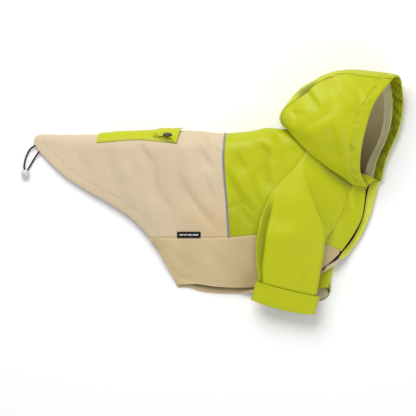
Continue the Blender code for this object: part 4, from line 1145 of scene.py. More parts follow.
# %% Near chest panel
SLEEVE_FRONT = ((142.2, -66.5), (151.5, -50), (158, -39), (163.5, -29), (167, -20), (168.8, -11),
                (170.8, -4), (174.5, 1.6), (180.5, 13))
UNDER_SLEEVE = (2.4, 0.0)  # how far the near chest runs on under the sleeve's front seam
down_chest = paced(80, 0.8, 0.0)
near_left = through(np.array(SLEEVE_FRONT) - UNDER_SLEEVE, down_chest)
near_right = through([p for p in NEAR_EDGE if p[1] > -79], down_chest)
low_x = np.linspace(near_left[0, 0], near_right[0, 0], 40)
low = np.stack([low_x, belly_seam_y(low_x) + GAP], axis=-1)
near_left[0], near_right[0] = low[0], low[-1]
high = through((near_left[-1], (192.0, 14.5), near_right[-1]), 40)
chest_grid = on_near(patch(low, high, near_left, near_right))
chest = wall(lay("chest_near", chest_grid, lime))
chest_row = stitched("chest_stitches", [beside_edge(chest_grid, 3.2, "right")], THREADS["lime"])
stated(chest, ["chest_panel_near"], [chest_grid])

# %% Far chest panel
FAR_SLEEVE_FRONT = ((149.6, -68), (149, -58), (151.6, -44), (156, -32), (161, -20), (166, -8),
                    (170, 3), (173.5, 13.2))
UNDER_BAND = (1.2, 0.0)  # from the far front edge to the panel's own
far_left = through(FAR_SLEEVE_FRONT, 50)
far_right = through([p for p in FAR_EDGE if p[1] > -83], 49) - UNDER_BAND
far_right = np.concatenate([[(162.6, -87.2)], far_right])
low = through((far_left[0], (156.0, -78.6), far_right[0]), 30)
high = through((far_left[-1], (191.0, 9.6), far_right[-1]), 30)
chest_far_grid = on_far(patch(low, high, far_left, far_right))[:, ::-1]
chest_far = wall(lay("chest_far", chest_far_grid, lime))
stated(chest_far, ["chest_panel_far"], [chest_far_grid])

# %% [markdown]
# ## Near sleeve
# A raglan sleeve: its cap runs up to the neckline between the back's seam and the chest's, and
# below the underarm it closes to a flattened tube.  One ridge starts at the neck and turns into
# the tube's front edge, and behind it the cloth dips into a long pleat beside the back edge.

# %% The sleeve's table
NEAR_SLEEVE = {
    "left": ((50.2, -136.6), (54.4, -117.4), (52.2, -98), (51.3, -80), (53, -58), (57.5, -38),
             (63.5, -21), (71, -4.8), (80, 8.3), (90.5, 19.7), (100, 29.5), (109.5, 40), (118, 54.5)),
    "right": ((124.4, -153.6), (130.6, -135.6), (136.6, -102), (140.6, -82), (142.2, -66.5), (151.5, -50),
              (158, -39), (163.5, -29), (167, -20), (168.8, -11), (170.8, -4), (174.5, 1.6),
              (180.5, 13)),
    "crest": (0.985, 0.985, 0.985, 0.985, 0.975, 0.867, 0.748, 0.616, 0.492, 0.340, 0.19, 0.07, 0.07),
    "crest_lift": (10, 10, 10, 10, 10.5, 10.4, 9.8, 9, 7.8, 6.4, 4.8, 3.2, 2),
    "left_lift": (5, 5, 5, 5, 4.5, 3.2, 2, 0.9, 0.3, 0.3, 0.3, 0.3, 0.3),
    "stand": (2.9, 2.6, 1.4, 0.8, 0.8, 0.8, 0.8, 0.8, 0.8, 0.8, 0.8, 0.8, 0.8),
    "pleat": (3.4, 4.6, 5.4, 6, 6, 4.6, 2.4, 0.4, 0, 0, 0, 0, 0),
    "pleat_in": (4.5, 4.9, 7, 10, 10.8, 10.4, 8.4, 4.6, 3, 3, 3, 3, 3),
}
UNDERARM_ROW = 4
SLEEVE_ROWS = 150
SLEEVE_FOLDS = (
    (90, -66, 82, -98, 2, 7, 0.7),
    (78, -44, 72, -80, 2, 6, 0.7),
    (119, -114, 108, -132, 2, 7, 1),
    (128, 6, 152, -8, -3, 8, 0.8),
    (146, 24, 166, 10, 2, 5, 1.2),
    (98, -18, 88, -62, 3, 10, 0.6),
)
KNEE_Y = -58.0  # where the sleeve leaves the slope of the side
CUFF_BED = (-162.0, 11.0)  # y of the sleeve's end, and the height that it lies at there
TUBE_FRONT_ROUND = 5.0  # how far in the tube's front edge is rounded
TUBE_BACK_ROUND = 7.0
print(len(SLEEVE_FOLDS), "folds on the sleeve,", len(NEAR_SLEEVE["left"]), "stations along it")


def sleeve_bed(x, y, take=1.0):
    """What the near sleeve lies on: the near side, and past the knee one straight slope."""
    share = np.clip((KNEE_Y - y) / (KNEE_Y - CUFF_BED[0]), 0, 1.1)
    knee_y = np.maximum(y, KNEE_Y)
    form = loft_height(x, knee_y) * (0.5 + 0.5 * roundness(x, knee_y))
    form = form + soft_relief(x, knee_y) * np.clip(1 - 2.5 * share, 0, 1) * take
    return form * (1 - share) + CUFF_BED[1] * share


# %% Laying the sleeve
level = np.linspace(0, len(NEAR_SLEEVE["left"]) - 1, SLEEVE_ROWS)
knots = np.arange(len(NEAR_SLEEVE["left"]))
row = {key: spline(knots, value, level) for key, value in NEAR_SLEEVE.items()}
open_row = int(np.argmin(abs(level - UNDERARM_ROW)))
left, right = row["left"][:, None, :], row["right"][:, None, :]
width = np.linalg.norm(row["right"] - row["left"], axis=1)[:, None]
pleat_at = row["pleat_in"][:, None] / width
crest_at = row["crest"][:, None]
s = np.concatenate([
    pleat_at * paced(18, 0.9, 0.6)[None, :-1],
    pleat_at + (crest_at - pleat_at) * paced(54, 0.85, 0.7)[None, :-1],
    crest_at + (1 - crest_at) * paced(24, 0.8, 0.8)[None],
], axis=1)
plan = left + (right - left) * s[..., None]
from_left, from_right = s * width, (1 - s) * width
print("near sleeve:", plan.shape[0], "rows of", plan.shape[1], "points, a closed tube below row", open_row)

# %% Height of the sleeve's upper layer
TUBE_EDGE = 0.45  # height of the tube's edges, as a share of its lift
CREST_DROP = 5.0  # mm past the crest in which the steep side falls away
PLEAT_STEEP = 1.7
SETTLED = 9.0  # mm in from its seams where the sleeve no longer takes the folds below it
crest, lift, edge = (row[key][:, None] for key in ("crest", "crest_lift", "left_lift"))
tube_share = 1 - smoothstep(level[:, None], UNDERARM_ROW - 0.2, UNDERARM_ROW + 1.4)  # 1 below the underarm
round_edge = 0.5 * edge + (lift - 0.5 * edge) * rounded(from_left, TUBE_BACK_ROUND)
flat_edge = edge + (lift - edge) * smoothstep(s / np.maximum(crest, 0.04), -0.05, 1.15)
to_crest = tube_share * round_edge + (1 - tube_share) * flat_edge
after = smoothstep((s - crest) / np.maximum(1 - crest, 0.02), 0.0, 1.0)
past_crest = np.clip(s - crest, 0, None) * width
steep = 1 - np.exp(-past_crest / CREST_DROP)
sharpness = 0.62 * smoothstep(-level[:, None], -11.2, -7.0)
drop = sharpness * steep + (1 - sharpness) * after
ends = tube_share * TUBE_EDGE * lift + (1 - tube_share) * 0.25
floor_left = lift * (1 - drop) + ends * drop
beyond_crest = floor_left + (ends - floor_left) * smoothstep(after, 0.75, 1.0)
tube_front = TUBE_EDGE * lift + (1 - TUBE_EDGE) * lift * rounded(from_right, TUBE_FRONT_ROUND)
upper = np.where(s <= crest, to_crest, beyond_crest)
upper = tube_share * np.minimum(to_crest, tube_front) + (1 - tube_share) * upper
pleat_off = from_left - row["pleat_in"][:, None]
reach_left = np.maximum(0.75 * row["pleat_in"][:, None], 2.0)
soft_flank = np.exp(-np.abs(pleat_off / reach_left) ** 1.6)
steep_flank = np.exp(-((pleat_off / PLEAT_STEEP) ** 2))
sunk = np.where(pleat_off < 0, soft_flank, steep_flank)
upper = upper - row["pleat"][:, None] * sunk
inward = np.minimum(from_left, from_right)
bed = sleeve_bed(plan[..., 0], plan[..., 1], np.exp(-((inward / SETTLED) ** 2)))
settle = smoothstep(inward, 0.5, 8.0)
own = 0.4 * rumple(plan[..., 0], plan[..., 1], 24.0, turn=-1.4, stretch=3.0)
own = own + 0.7 * crumple(plan[..., 0], plan[..., 1], 30.0, turn=-1.4, stretch=3.0)
own = own - fold_sum(plan[..., 0], plan[..., 1], SLEEVE_FOLDS)
top_z = bed + CLOTH + row["stand"][:, None] * tube_share + upper + own * settle
top = np.concatenate([plan, top_z[..., None]], axis=-1)
print("the upper layer stands", round(float(top[..., 2].max()), 1), "mm over the surface at most")

# %% The sleeve's lower layer and its shading
low_share = np.array([1.0, 0.985, 0.95, 0.8, 0.6, 0.4, 0.2, 0.05, 0.015, 0.0])
low_plan = (left + (right - left) * low_share[None, :, None])[:open_row + 1]
low_bed = sleeve_bed(low_plan[..., 0], low_plan[..., 1])
low_drop = np.interp(low_share, (0.0, 0.015, 0.05, 0.95, 0.985, 1.0), (0.0, 0.75, 1.0, 1.0, 0.75, 0.0))
edge_z = top[:open_row + 1, :1, 2] * (1 - low_share) + top[:open_row + 1, -1:, 2] * low_share
low_z = low_bed + row["stand"][:open_row + 1, None] + CLOTH - LAP
low_z = edge_z * (1 - low_drop) + low_z * low_drop
under = np.concatenate([low_plan, low_z[..., None]], axis=-1)
# painted shade: in the pleat, just past the crest, in the gap above the cuff and in folds, with a painted
# shadow under the hood's lower edge
pleat_shade = smoothstep(row["pleat"][:, None], 0.4, 3.0) * (1 - smoothstep(pleat_off, 0.0, 1.4))
pleat_shade = pleat_shade * smoothstep(from_left, 0.3, 4.0)
past = sharpness * smoothstep(past_crest, 0.0, 1.5) * np.exp(-past_crest / 30.0)
hood_shadow = np.exp(-((to_line(plan[..., 0], plan[..., 1], HOOD_EDGE)[0] / 10.0) ** 2))
hood_shadow = hood_shadow * (0.45 + 0.55 * smoothstep(plan[..., 0], 132.0, 152.0))
cuff_gap_shade = groove(to_line(plan[..., 0], plan[..., 1], CUFF_TOP)[0], 1.0, 1.0)
shade_mask = np.max([hollows(top), 0.7 * pleat_shade, 0.3 * past, hood_shadow, cuff_gap_shade], axis=0)
sleeve_top = lay("sleeve", top, lime, shade_mask)
sleeve_under = lay("sleeve_under", under, lime)
sleeve = wall(weld(join("sleeve", [sleeve_top, sleeve_under])))
tube = np.concatenate([top[:open_row + 1], under[:, 1:]], axis=1)
stated(sleeve, ["sleeve_near"], [tube, top[open_row:]])

# %% [markdown]
# ## Cuffs and the far sleeve
# The near sleeve ends in a broad turned-up cuff: the cloth folds at the bottom, and its raw edge
# is stitched down inside.  Of the far sleeve only the front of its lower half shows, with the
# cuff that lies open and the mesh lining inside it.

# %% Near cuff
CUFF_LIFT = 15.8
BENT_EDGE, EVEN_FROM = 0.048, 0.066  # shares of a flat tube's width, where its edge bends over
CUFF_FOLD = 1.1  # radius at which its cloth turns inside
CUFF_LINES = (
    ((46, -140.6), (62.7, -147.2), (80, -152.2), (100.3, -156.6), (115, -158.9), (128.2, -159.6)),
    ((48.6, -131), (65, -137), (86, -143.6), (107, -148.4), (121, -150.4), (130.8, -150.8)),
    ((50.6, -122.6), (67, -128.2), (90, -135), (112, -140.4), (124, -142.6), (132.4, -143.2)),
    CUFF_TOP,
)
CUFF_ROWS = 26
CUFF_INSIDE = (  # degrees turned, and how far in the cloth then runs
    (35, 0), (75, 0), (115, 0), (150, 0), (180, 0), (180, 7), (180, 15), (180, 24),
)


def ring_rows(lines, across, rise, level):
    """Rows of a flattened tube: out along its upper layer and back along its lower one."""
    rows = []
    for line in lines:
        points = through(line, across)
        out = np.column_stack([points, level(points, 0.5 + 0.5 * rise)])
        back_again = np.column_stack([points, level(points, 0.5 - 0.5 * rise)])[::-1]
        rows.append(np.concatenate([out, back_again[1:]]))
    return np.array(rows)


def cuff_level(plan, share):
    """Height of the cuff's cloth at a share of the way from its lower layer to its upper one."""
    x, y = plan[:, 0], plan[:, 1]
    own = 0.5 * rumple(x, y, 17.0, turn=-0.3, stretch=2.4) + 0.12 * rumple(x, y, 6.0, turn=-0.4)
    return sleeve_bed(x, y) + LAP + share * CUFF_LIFT + own * share


def edges_in(count):
    """Shares of the width, closer together at both edges, where a flat tube bends over."""
    near = np.linspace(0, 1, 7) ** 1.8 * BENT_EDGE
    return np.concatenate([near, np.linspace(EVEN_FROM, 1 - EVEN_FROM, count), 1 - near[::-1]])


cuff_across = edges_in(64)
cuff_rise = rounded(np.minimum(cuff_across, 1 - cuff_across), 0.05)
lines = loft(CUFF_LINES, 40, CUFF_ROWS)
cuff_grid = ring_rows(lines, cuff_across, cuff_rise, cuff_level)
middle_z = cuff_grid[:, :, 2].mean(axis=1, keepdims=True)
mouth = cuff_grid[0]
out = cuff_grid[0] - cuff_grid[1]
out[:, 2] = 0.0
out /= np.maximum(np.linalg.norm(out, axis=1, keepdims=True), 1e-6)
off_middle = mouth[:, 2] - middle_z[0]
flat_end = np.clip(np.abs(off_middle) / 3.0, 0, 1)
inward = np.sign(lines[0].mean(axis=0)[0] - mouth[:, 0])
inner = []
for turn, deeper in CUFF_INSIDE:
    fold = math.radians(turn)
    step_in = CUFF_FOLD * (1 - math.cos(fold))
    moved = mouth + out * (CUFF_FOLD * math.sin(fold) - deeper)
    moved[:, 2] -= step_in * np.sign(off_middle) * flat_end
    moved[:, 0] += inward * step_in * (1 - flat_end)
    inner.append(moved)
cuff_grid = np.concatenate([np.array(inner)[::-1], cuff_grid])
cuff = wall(weld(lay("cuff", cuff_grid, lime)), thickness=0.8)
cuff_top = cuff_grid[-CUFF_ROWS:, :len(cuff_across)]
cuff_rows = [beside_edge(cuff_top, 4.4, "high"), beside_edge(cuff_top, 3.4, "low")]
cuff_rows = stitched("cuff_stitches", cuff_rows, THREADS["lime"])
stated(cuff, ["cuff_near"], [cuff_grid])

# %% Far sleeve
FAR_SLEEVE = {
    "left": ((61.4, -119), (59, -106), (54, -84), (51.5, -60), (51.5, -44), (57, -27),
             (69, -8), (81, 7), (94, 21), (107, 34.5), (120.5, 50)),
    "right": ((149, -116.5), (150.6, -108), (153.4, -92), (151, -72), (148, -58), (150.6, -44),
              (155, -32), (160, -20), (165, -8), (169, 3), (172.5, 13.2)),
}
FAR_SLEEVE_THICKNESS = 8.4
far_level = np.linspace(0, 10, 90)
far_left = spline(np.arange(11), FAR_SLEEVE["left"], far_level)[:, None]
far_right = spline(np.arange(11), FAR_SLEEVE["right"], far_level)[:, None]
far_open = int(np.argmin(abs(far_level - 4.0)))
s = edges_in(40)
far_plan = far_left + (far_right - far_left) * s[None, :, None]
far_rise = rounded(np.minimum(s, 1 - s), 0.06)
body = 0.9 * rumple(far_plan[..., 0], far_plan[..., 1], 13.0, turn=-1.3)
body = body * smoothstep(far_level[:, None], 0.0, 0.9)
tube_top = far_plan[:far_open + 1]
upper_z = FAR_SLEEVE_THICKNESS * (0.5 + 0.5 * far_rise)[None, :] + (body * far_rise)[:far_open + 1]
lower_z = np.broadcast_to(FAR_SLEEVE_THICKNESS * (0.5 - 0.5 * far_rise)[None, :], far_plan.shape[:2]).copy()
lower_z[far_open + 1:] = 0.0
upper_layer = np.concatenate([tube_top, upper_z[..., None]], axis=-1)
lower_layer = np.concatenate([far_plan, lower_z[..., None]], axis=-1)[:, ::-1]
far_layers = [lay("far_sleeve", upper_layer, lime), lay("under_far", lower_layer, lime)]
far_sleeve = wall(weld(join("far_sleeve", far_layers)))
far_tube = np.concatenate([upper_layer, lower_layer[:far_open + 1, 1:]], axis=1)
stated(far_sleeve, ["sleeve_far"], [far_tube, lower_layer[far_open:]])

# %% Far cuff
FAR_CUFF = {
    "upper": (((63, -133), (100, -131.5), (132, -128.2), (145.4, -125.6), (148.2, -127.4)),
              ((62.4, -127), (100, -126), (132, -123.6), (148.8, -121.6)),
              ((61.4, -119.02), (149, -116.52))),
    "lower": (((63, -143), (100, -146), (131, -144), (141, -140.6), (146.4, -135.6), (148.2, -130.4)),
              ((62.4, -132), (100, -132.6), (140, -130), (148.8, -126)),
              ((61.4, -119.02), (149, -116.52))),
    "top": (9, 8.7, FAR_SLEEVE_THICKNESS),
}
FAR_CUFF_ROWS = 20
upper_lines = loft(FAR_CUFF["upper"], 80, FAR_CUFF_ROWS)
lower_lines = loft(FAR_CUFF["lower"], 80, FAR_CUFF_ROWS)
tops = np.interp(np.linspace(0, 2, FAR_CUFF_ROWS), (0, 1, 2), FAR_CUFF["top"])
rows = []
for upper_line, lower_line, top_z in zip(upper_lines, lower_lines, tops):
    up, down = through(upper_line, s), through(lower_line, s)[::-1]
    rows.append(np.concatenate([np.column_stack([up, top_z * (0.5 + 0.5 * far_rise)]),
                                np.column_stack([down, top_z * (0.5 - 0.5 * far_rise)])[1:]]))
far_cuff_grid = np.array(rows)
in_shade = np.zeros(far_cuff_grid.shape[:2])
in_shade[:, len(s) - 5:] = smoothstep(-far_cuff_grid[:, len(s) - 5:, 1], 118.0, 124.0)
far_cuff = wall(weld(lay("far_cuff", far_cuff_grid, lime, in_shade)))
far_cuff_row = stitched("far_cuff_stitches", [beside_edge(far_cuff_grid[:, 4:len(s) - 4], 2.6, "low")],
                        THREADS["lime"])
stated(far_cuff, ["cuff_far"], [far_cuff_grid])

# %% Lining of the far cuff
lining_lines = np.array([through(line, 60)[3:-3] for line in lower_lines])
lining_lines[0] += (lining_lines[1] - lining_lines[0]) * 0.9
ripple = 0.25 * np.clip(rumple(lining_lines[..., 0], lining_lines[..., 1], 7.0), 0, 1)
lining_z = (CLOTH + 0.75 + ripple)[..., None]
far_lining_grid = np.concatenate([lining_lines, lining_z], axis=-1)
far_lining = wall(lay("far_cuff_lining", far_lining_grid, cuff_mesh), thickness=0.7)
stated(far_lining, ["cuff_far_lining"], [far_lining_grid])

# %% [markdown]
# ## Hood
# Two side pieces and a crown between them, with lines from the nape to the rim.  At the rim the
# cloth turns inside, where a gathered facing hides the drawstring channel and meets the mesh
# lining.  The hood lies on its far side, so its mouth gapes towards the head.

# %% The hood's lines
HOOD_NEAR = (
    ((91.4, 82.6, 42), (103, 74.5, 46.6), (124.5, 54.5, 46.4), (149, 35, 39.4), (168, 22, 31.6),
     (184.5, 12, 23.2), (196.6, 10.6, 19.8)),
    HOOD_EDGE,
    ((88.8, 84.3, 47), (98, 77, 56), (124, 62, 62), (150, 46, 59), (168, 35, 54),
     (187, 26, 44)),
    ((88.1, 85.4, 48), (94, 85, 59), (128, 82, 73), (158, 73, 74), (189.6, 62, 66)),
    ((87.5, 86.5, 48.5), (90.5, 93, 58), (112, 103, 70), (142, 114, 79), (172, 113, 78),
     (204, 111.6, 72)),
    ((87, 87.6, 49), (84.8, 93, 51), (86.2, 101.5, 54), (100, 117, 62), (114, 126, 66),
     (128, 138.5, 68), (146, 150, 68), (170, 153.3, 67), (195, 149.5, 64), (228.4, 146, 58)),
)
CROWN = ((88.2, 83, 26), (84.2, 88, 28), (82.5, 93.8, 29), (83.6, 100.4, 31), (93.7, 116.4, 34),
         (106.8, 130.6, 36), (123.4, 142, 36), (141.2, 151.4, 37), (162.5, 157, 37),
         (188.6, 157.3, 37), (212.3, 155.2, 37), (237, 150.4, 38))
HOOD_FAR = (
    ((87.4, 87.4, 8), (85.4, 93.5, 7), (86.8, 101.5, 6), (100, 116, 5), (114, 126, 5),
     (128, 138, 5), (146, 148.5, 5), (170, 152, 6), (200, 149.5, 8), (241, 138, 15)),
    ((87.9, 86.4, 6), (93, 92, 3), (112, 103, 0), (150, 113, 0), (200, 111, 0),
     (242.8, 112, 12)),
    ((88.5, 85.3, 5), (97, 84, 2), (128, 82, 0), (170, 79, 0), (212, 73, 0),
     (236.6, 77, 10)),
    ((89.2, 84.2, 4), (101, 77, 1), (124, 62, 0), (160, 48, 0), (196, 38, 0),
     (221.4, 42, 8)),
    ((90.8, 83, 3), (104, 71, 0), (122, 51.4, 0), (146, 32.4, 0), (168, 17.8, 0),
     (188, 9.6, 2.8), (200, 8.6, 4.4), (214.2, 12.4, 6.6)),
)
HOOD_FOLDS = (
    # from x, y       to x, y      bow  half width  depth
    (117, 134, 135, 100, 0, 10, 2.4),
    (146, 160, 150, 88, -2, 20, 4.2),
    (152, 104, 106, 84, -3, 12, 1.6),
    (94, 106, 118, 100, 2, 6, 0.9),
    (158, 128, 184, 88, 2, 16, 2.6),
    (149, 86, 163, 28, 2, 17, 3.4),
    (171, 88, 177, 36, 1, 10, 1.6),
    (184, 132, 192, 112, 1, 6, 0.8),
    (120, 72, 140, 46, 2, 9, 0.9),
)
CROWN_SHADE = (106.0, 132.0)  # stretch of the crown, in x, that turns away from the light
RIM_STITCH_IN = 13.0
RIM_GATHERS = 1.2  # height of the gathers beside the drawstring channel
SEAM_PUCKERS = 0.35
CHANNEL_BULGE = 0.5
HOOD_WALL = 0.8
ROLL = 1.1  # radius at which the rim turns inside
HOOD_FOLD_SCALE = 1.35  # folds of the hood are this much deeper than their table says
CROWN_ARC = 50  # degrees of the crown's curve on either side of its middle

hood_columns = 168
near_rows, crown_rows, far_rows = 104, 33, 38
near = loft(HOOD_NEAR, hood_columns, 5 * paced(near_rows, 0.0, 0.85))
far = loft(HOOD_FAR, hood_columns, 4 * paced(far_rows, 0.8, 0.0))
far[..., 2] = np.maximum(far[..., 2], 0.0)
outline = through(CROWN, hood_columns)
middle = (near[-1] + far[0]) / 2
half = (near[-1] - far[0]) / 2
low, top_sine = math.cos(math.radians(CROWN_ARC)), math.sin(math.radians(CROWN_ARC))
rows = []
for angle in np.radians(CROWN_ARC - 2 * CROWN_ARC * paced(crown_rows, 0.8, 0.8)):
    out = (math.cos(angle) - low) / (1 - low)
    rows.append(middle + (outline - middle) * out + half * math.sin(angle) / top_sine)
whole = np.concatenate([near, np.array(rows)[1:], far[1:]])
print("hood grid:", whole.shape[:2])

# %% Hood relief
outward = normals(whole)
for _ in range(4):
    outward[1:-1] = (outward[:-2] + 2 * outward[1:-1] + outward[2:]) / 4
    outward[:, 1:-1] = (outward[:, :-2] + 2 * outward[:, 1:-1] + outward[:, 2:]) / 4
    outward /= np.maximum(np.linalg.norm(outward, axis=-1, keepdims=True), 1e-9)
seam_rows = (near_rows - 1, near_rows + crown_rows - 2)
down = lengths(whole, 0)
along = lengths(whole, 1)
to_rim = along[:, -1:] - along
hx, hy = whole[..., 0], whole[..., 1]
up_side = np.clip(outward[..., 2] * 1.6, 0, 1)
near_side = up_side * (np.arange(len(whole))[:, None] < near_rows + 4)
out = -HOOD_FOLD_SCALE * fold_sum(hx, hy, HOOD_FOLDS) * near_side
out = out + 0.7 * wander(along / 34.0 + 5.0, down / 21.0 + 2.0)
out = out + 0.15 * wander(along / 10.0, down / 13.0 + 4.0)
out = out + 1.6 * crumple(hx, hy, 36.0, turn=-1.35, stretch=2.4) * near_side
nape = smoothstep(along, 4.0, 22.0)
out = out * nape * smoothstep(to_rim, 2.0, 14.0)
seam_dark = np.zeros(whole.shape[:2])
for number in seam_rows:
    away = down - down[number][None]
    out = out - groove(away, 1.0, 0.9) + puckers(away, along, SEAM_PUCKERS, 6.0, 10.0) * nape
    seam_dark = np.maximum(seam_dark, groove(away, 1.0, 0.75))
rim_away = to_rim - RIM_STITCH_IN
rim_puckers = puckers(rim_away, down, RIM_GATHERS, 5.0, 5.0) * smoothstep(to_rim, 1.0, 6.0)
out = out - groove(rim_away, 0.12, 1.0) + rim_puckers
channel = smoothstep(to_rim, 0.0, 3.0) * (1 - smoothstep(to_rim, RIM_STITCH_IN - 4.0, RIM_STITCH_IN))
out = out + CHANNEL_BULGE * channel + 0.35 * channel * wander(down / 8.0, to_rim / 15.0)
lying = np.clip(1 - whole[..., 2] / 2.0, 0, 1)
out = np.minimum(out, out * (1 - lying))
skin = whole + outward * out[..., None]
skin[..., 2] = np.maximum(skin[..., 2], 0.0)
print("the hood's cloth moves by", round(float(out.min()), 1), "to", round(float(out.max()), 1), "mm")

# %% The turned rim, and the three cut pieces
rim, before = skin[:, -1], skin[:, -4]
onward = rim - before
onward /= np.linalg.norm(onward, axis=1, keepdims=True)
across_rim = outward[:, -1]
roll = [rim + onward * ROLL * math.sin(t) - across_rim * ROLL * (1 - math.cos(t))
        for t in np.radians((35, 70, 105, 140, 180))]
rolled = np.concatenate([skin, np.stack(roll, axis=1)], axis=1)
rolled[..., 2] = np.maximum(rolled[..., 2], 0.0)
# painted shade in the hood's folds and on the stretch of crown that turns away from the light; the seam
# lines are darker too
hood_shade_and_seams = hollows(rolled)
on_crown = smoothstep(down - down[near_rows - 1][None], -0.5, 1.0) * smoothstep(outward[..., 2], 0.1, 0.4)
shade_from = smoothstep(hx, CROWN_SHADE[0] - 4.0, CROWN_SHADE[0] + 6.0)
shade_to = 1 - smoothstep(hx, CROWN_SHADE[1] - 8.0, CROWN_SHADE[1] + 4.0)
turned_away_shade = on_crown * shade_from * shade_to
hood_shade_and_seams[:, :hood_columns] = np.max([hood_shade_and_seams[:, :hood_columns], seam_dark, turned_away_shade], axis=0)
first = 0
for name, count, replaced, rests in (
    ("hood_near", near_rows, "hood_side_near", "shoulder"),
    ("hood_crown", crown_rows, "hood_centre", "shoulder"),
    ("hood_far", far_rows, "hood_side_far", "floor"),
):
    piece = rolled[first:first + count]
    made = wall(lay(name, piece, lime, hood_shade_and_seams[first:first + count]), thickness=HOOD_WALL)
    rim_row = beside_edge(skin[first:first + count], RIM_STITCH_IN, "right")[1:-1]
    rim_stitches = stitched(f"{name}_stitches", [rim_row], THREADS["lime"], radius=0.14)
    stated(made, [replaced], [piece])
    first += count - 1

# %% [markdown]
# ## Inside the hood
# The lining hangs a little inside the shell.  Its knit ribs run with the rim, and a double line
# of stitches crosses it near its front edge.  The facing in front of it is shell cloth, gathered
# along the drawstring channel.

# %% Facing
FACING = 12.0
INSIDE = 2 * ROLL + 0.1
INNER_CLOTH = 0.6
ON_FAR_SIDE = 0.2  # air between the lining and the far side's wall
LOWER_MOUTH = (-125.0, -40.0)  # from the crown to the throat, along -y
LINED_FROM = 16  # the first row of the hood that is lined
GATHERS, FINE_GATHERS = 2.4, 1.5  # how far apart they lie along the rim
lined = slice(LINED_FROM, len(whole) - 1)
base = (whole + outward * (np.minimum(out, 0.0)[..., None] - INSIDE))[lined]
face_out = outward[lined]
rim_far = to_rim[lined]
row_mm = down[lined]
edge_column = int(np.argmin(np.abs(rim_far.mean(axis=0) - FACING)))
slanted = row_mm + 0.5 * rim_far
gather = 0.7 * wander(slanted / GATHERS, rim_far / 12.0)
gather = gather + 0.5 * wander(slanted / FINE_GATHERS + 3.0, rim_far / 7.0)
bulge = np.sin(np.clip(rim_far / FACING, 0, 1) * math.pi) ** 0.7
facing_grid = base - face_out * ((1.3 + 0.9 * gather) * bulge)[..., None]
facing_grid = facing_grid[:, edge_column:]
facing_grid[..., 2] = np.maximum(facing_grid[..., 2], CLOTH + ON_FAR_SIDE)
# painted shade: the facing darker low in the mouth and in the valleys of its gathers
facing_low = smoothstep(-facing_grid[..., 1], *LOWER_MOUTH)
facing_shade = np.clip(0.36 + 0.34 * facing_low - 0.75 * gather[:, edge_column:], 0.0, 1.0)
facing = wall(lay("facing", facing_grid[::-1], lime_shaded, facing_shade[::-1]), thickness=INNER_CLOTH)
stated(facing, ["hood_rim_facing"], [facing_grid])

# %% Lining
DEEPEST_COLUMN = 22  # where the lining begins, counted from the nape
LINING_STITCHES = (1.4, 10.2, 11.6)  # in from its front edge
sag = 0.8 * wander(row_mm / 26.0 + 8.0, rim_far / 30.0) + 0.8
lining_grid = base - face_out * (sag * smoothstep(rim_far, FACING, 30.0))[..., None]
front_edge = 0.35 * (1 - smoothstep(rim_far, FACING + 9.0, FACING + 12.0))
lining_grid = (lining_grid - face_out * front_edge[..., None])[:, DEEPEST_COLUMN:edge_column + 1]
lining_grid[..., 2] = np.maximum(lining_grid[..., 2], CLOTH + ON_FAR_SIDE)
front = rim_far[:, DEEPEST_COLUMN:edge_column + 1]
lower_shade = smoothstep(-lining_grid[..., 1], *LOWER_MOUTH)
shade_in = (0.27 + 0.62 * lower_shade) * smoothstep(front, FACING + 10.0, FACING + 14.0)
shade_in = np.maximum(shade_in, 0.35 * lower_shade)
lining = lay("lining", lining_grid[::-1], lining_mesh, shade_in[::-1])
marks = lining.data.attributes["cloth"].data
values = np.empty(len(marks) * 3, dtype=np.float32)
marks.foreach_get("vector", values)
values = values.reshape(lining_grid.shape[:2] + (3,))
values[..., 0] = front[::-1]
marks.foreach_set("vector", values.ravel())
lining = wall(lining, thickness=INNER_CLOTH)
lining_rows = [beside_edge(lining_grid, away, "right")[30:-2] + (0.0, 0.0, 0.1) for away in LINING_STITCHES]
lining_stitches = stitched("lining_stitches", lining_rows, THREADS["mesh"], radius=0.34)
stated(lining, ["hood_lining"], [lining_grid])

# %% Throat band
THROAT = (((186, 4.6, 20.5), (192, 5.2, 19.2), (198, 8.4, 17.4), (204.8, 12.4, 15)),
          ((185, 15, 20.2), (192.5, 14, 19.4), (199, 14.6, 18), (206.6, 13.6, 15.4)),
          ((184, 24.2, 17), (193, 21.6, 16.8), (200, 19.2, 15.6), (209.6, 13.8, 13)))
throat_grid = loft(THROAT, 30, 12)
throat = wall(lay("throat", throat_grid, lime))
stated(throat, ["throat_band"], [throat_grid])

# %% [markdown]
# ## Closure at the chest
# The far front edge carries a folded band with several rows of stitches, green above and beige
# where it passes the belly panel.  A black hook tape lies beside it and shows in the gap; its
# lower end runs on past the real tape as a dark sheet for the shade in the gap.

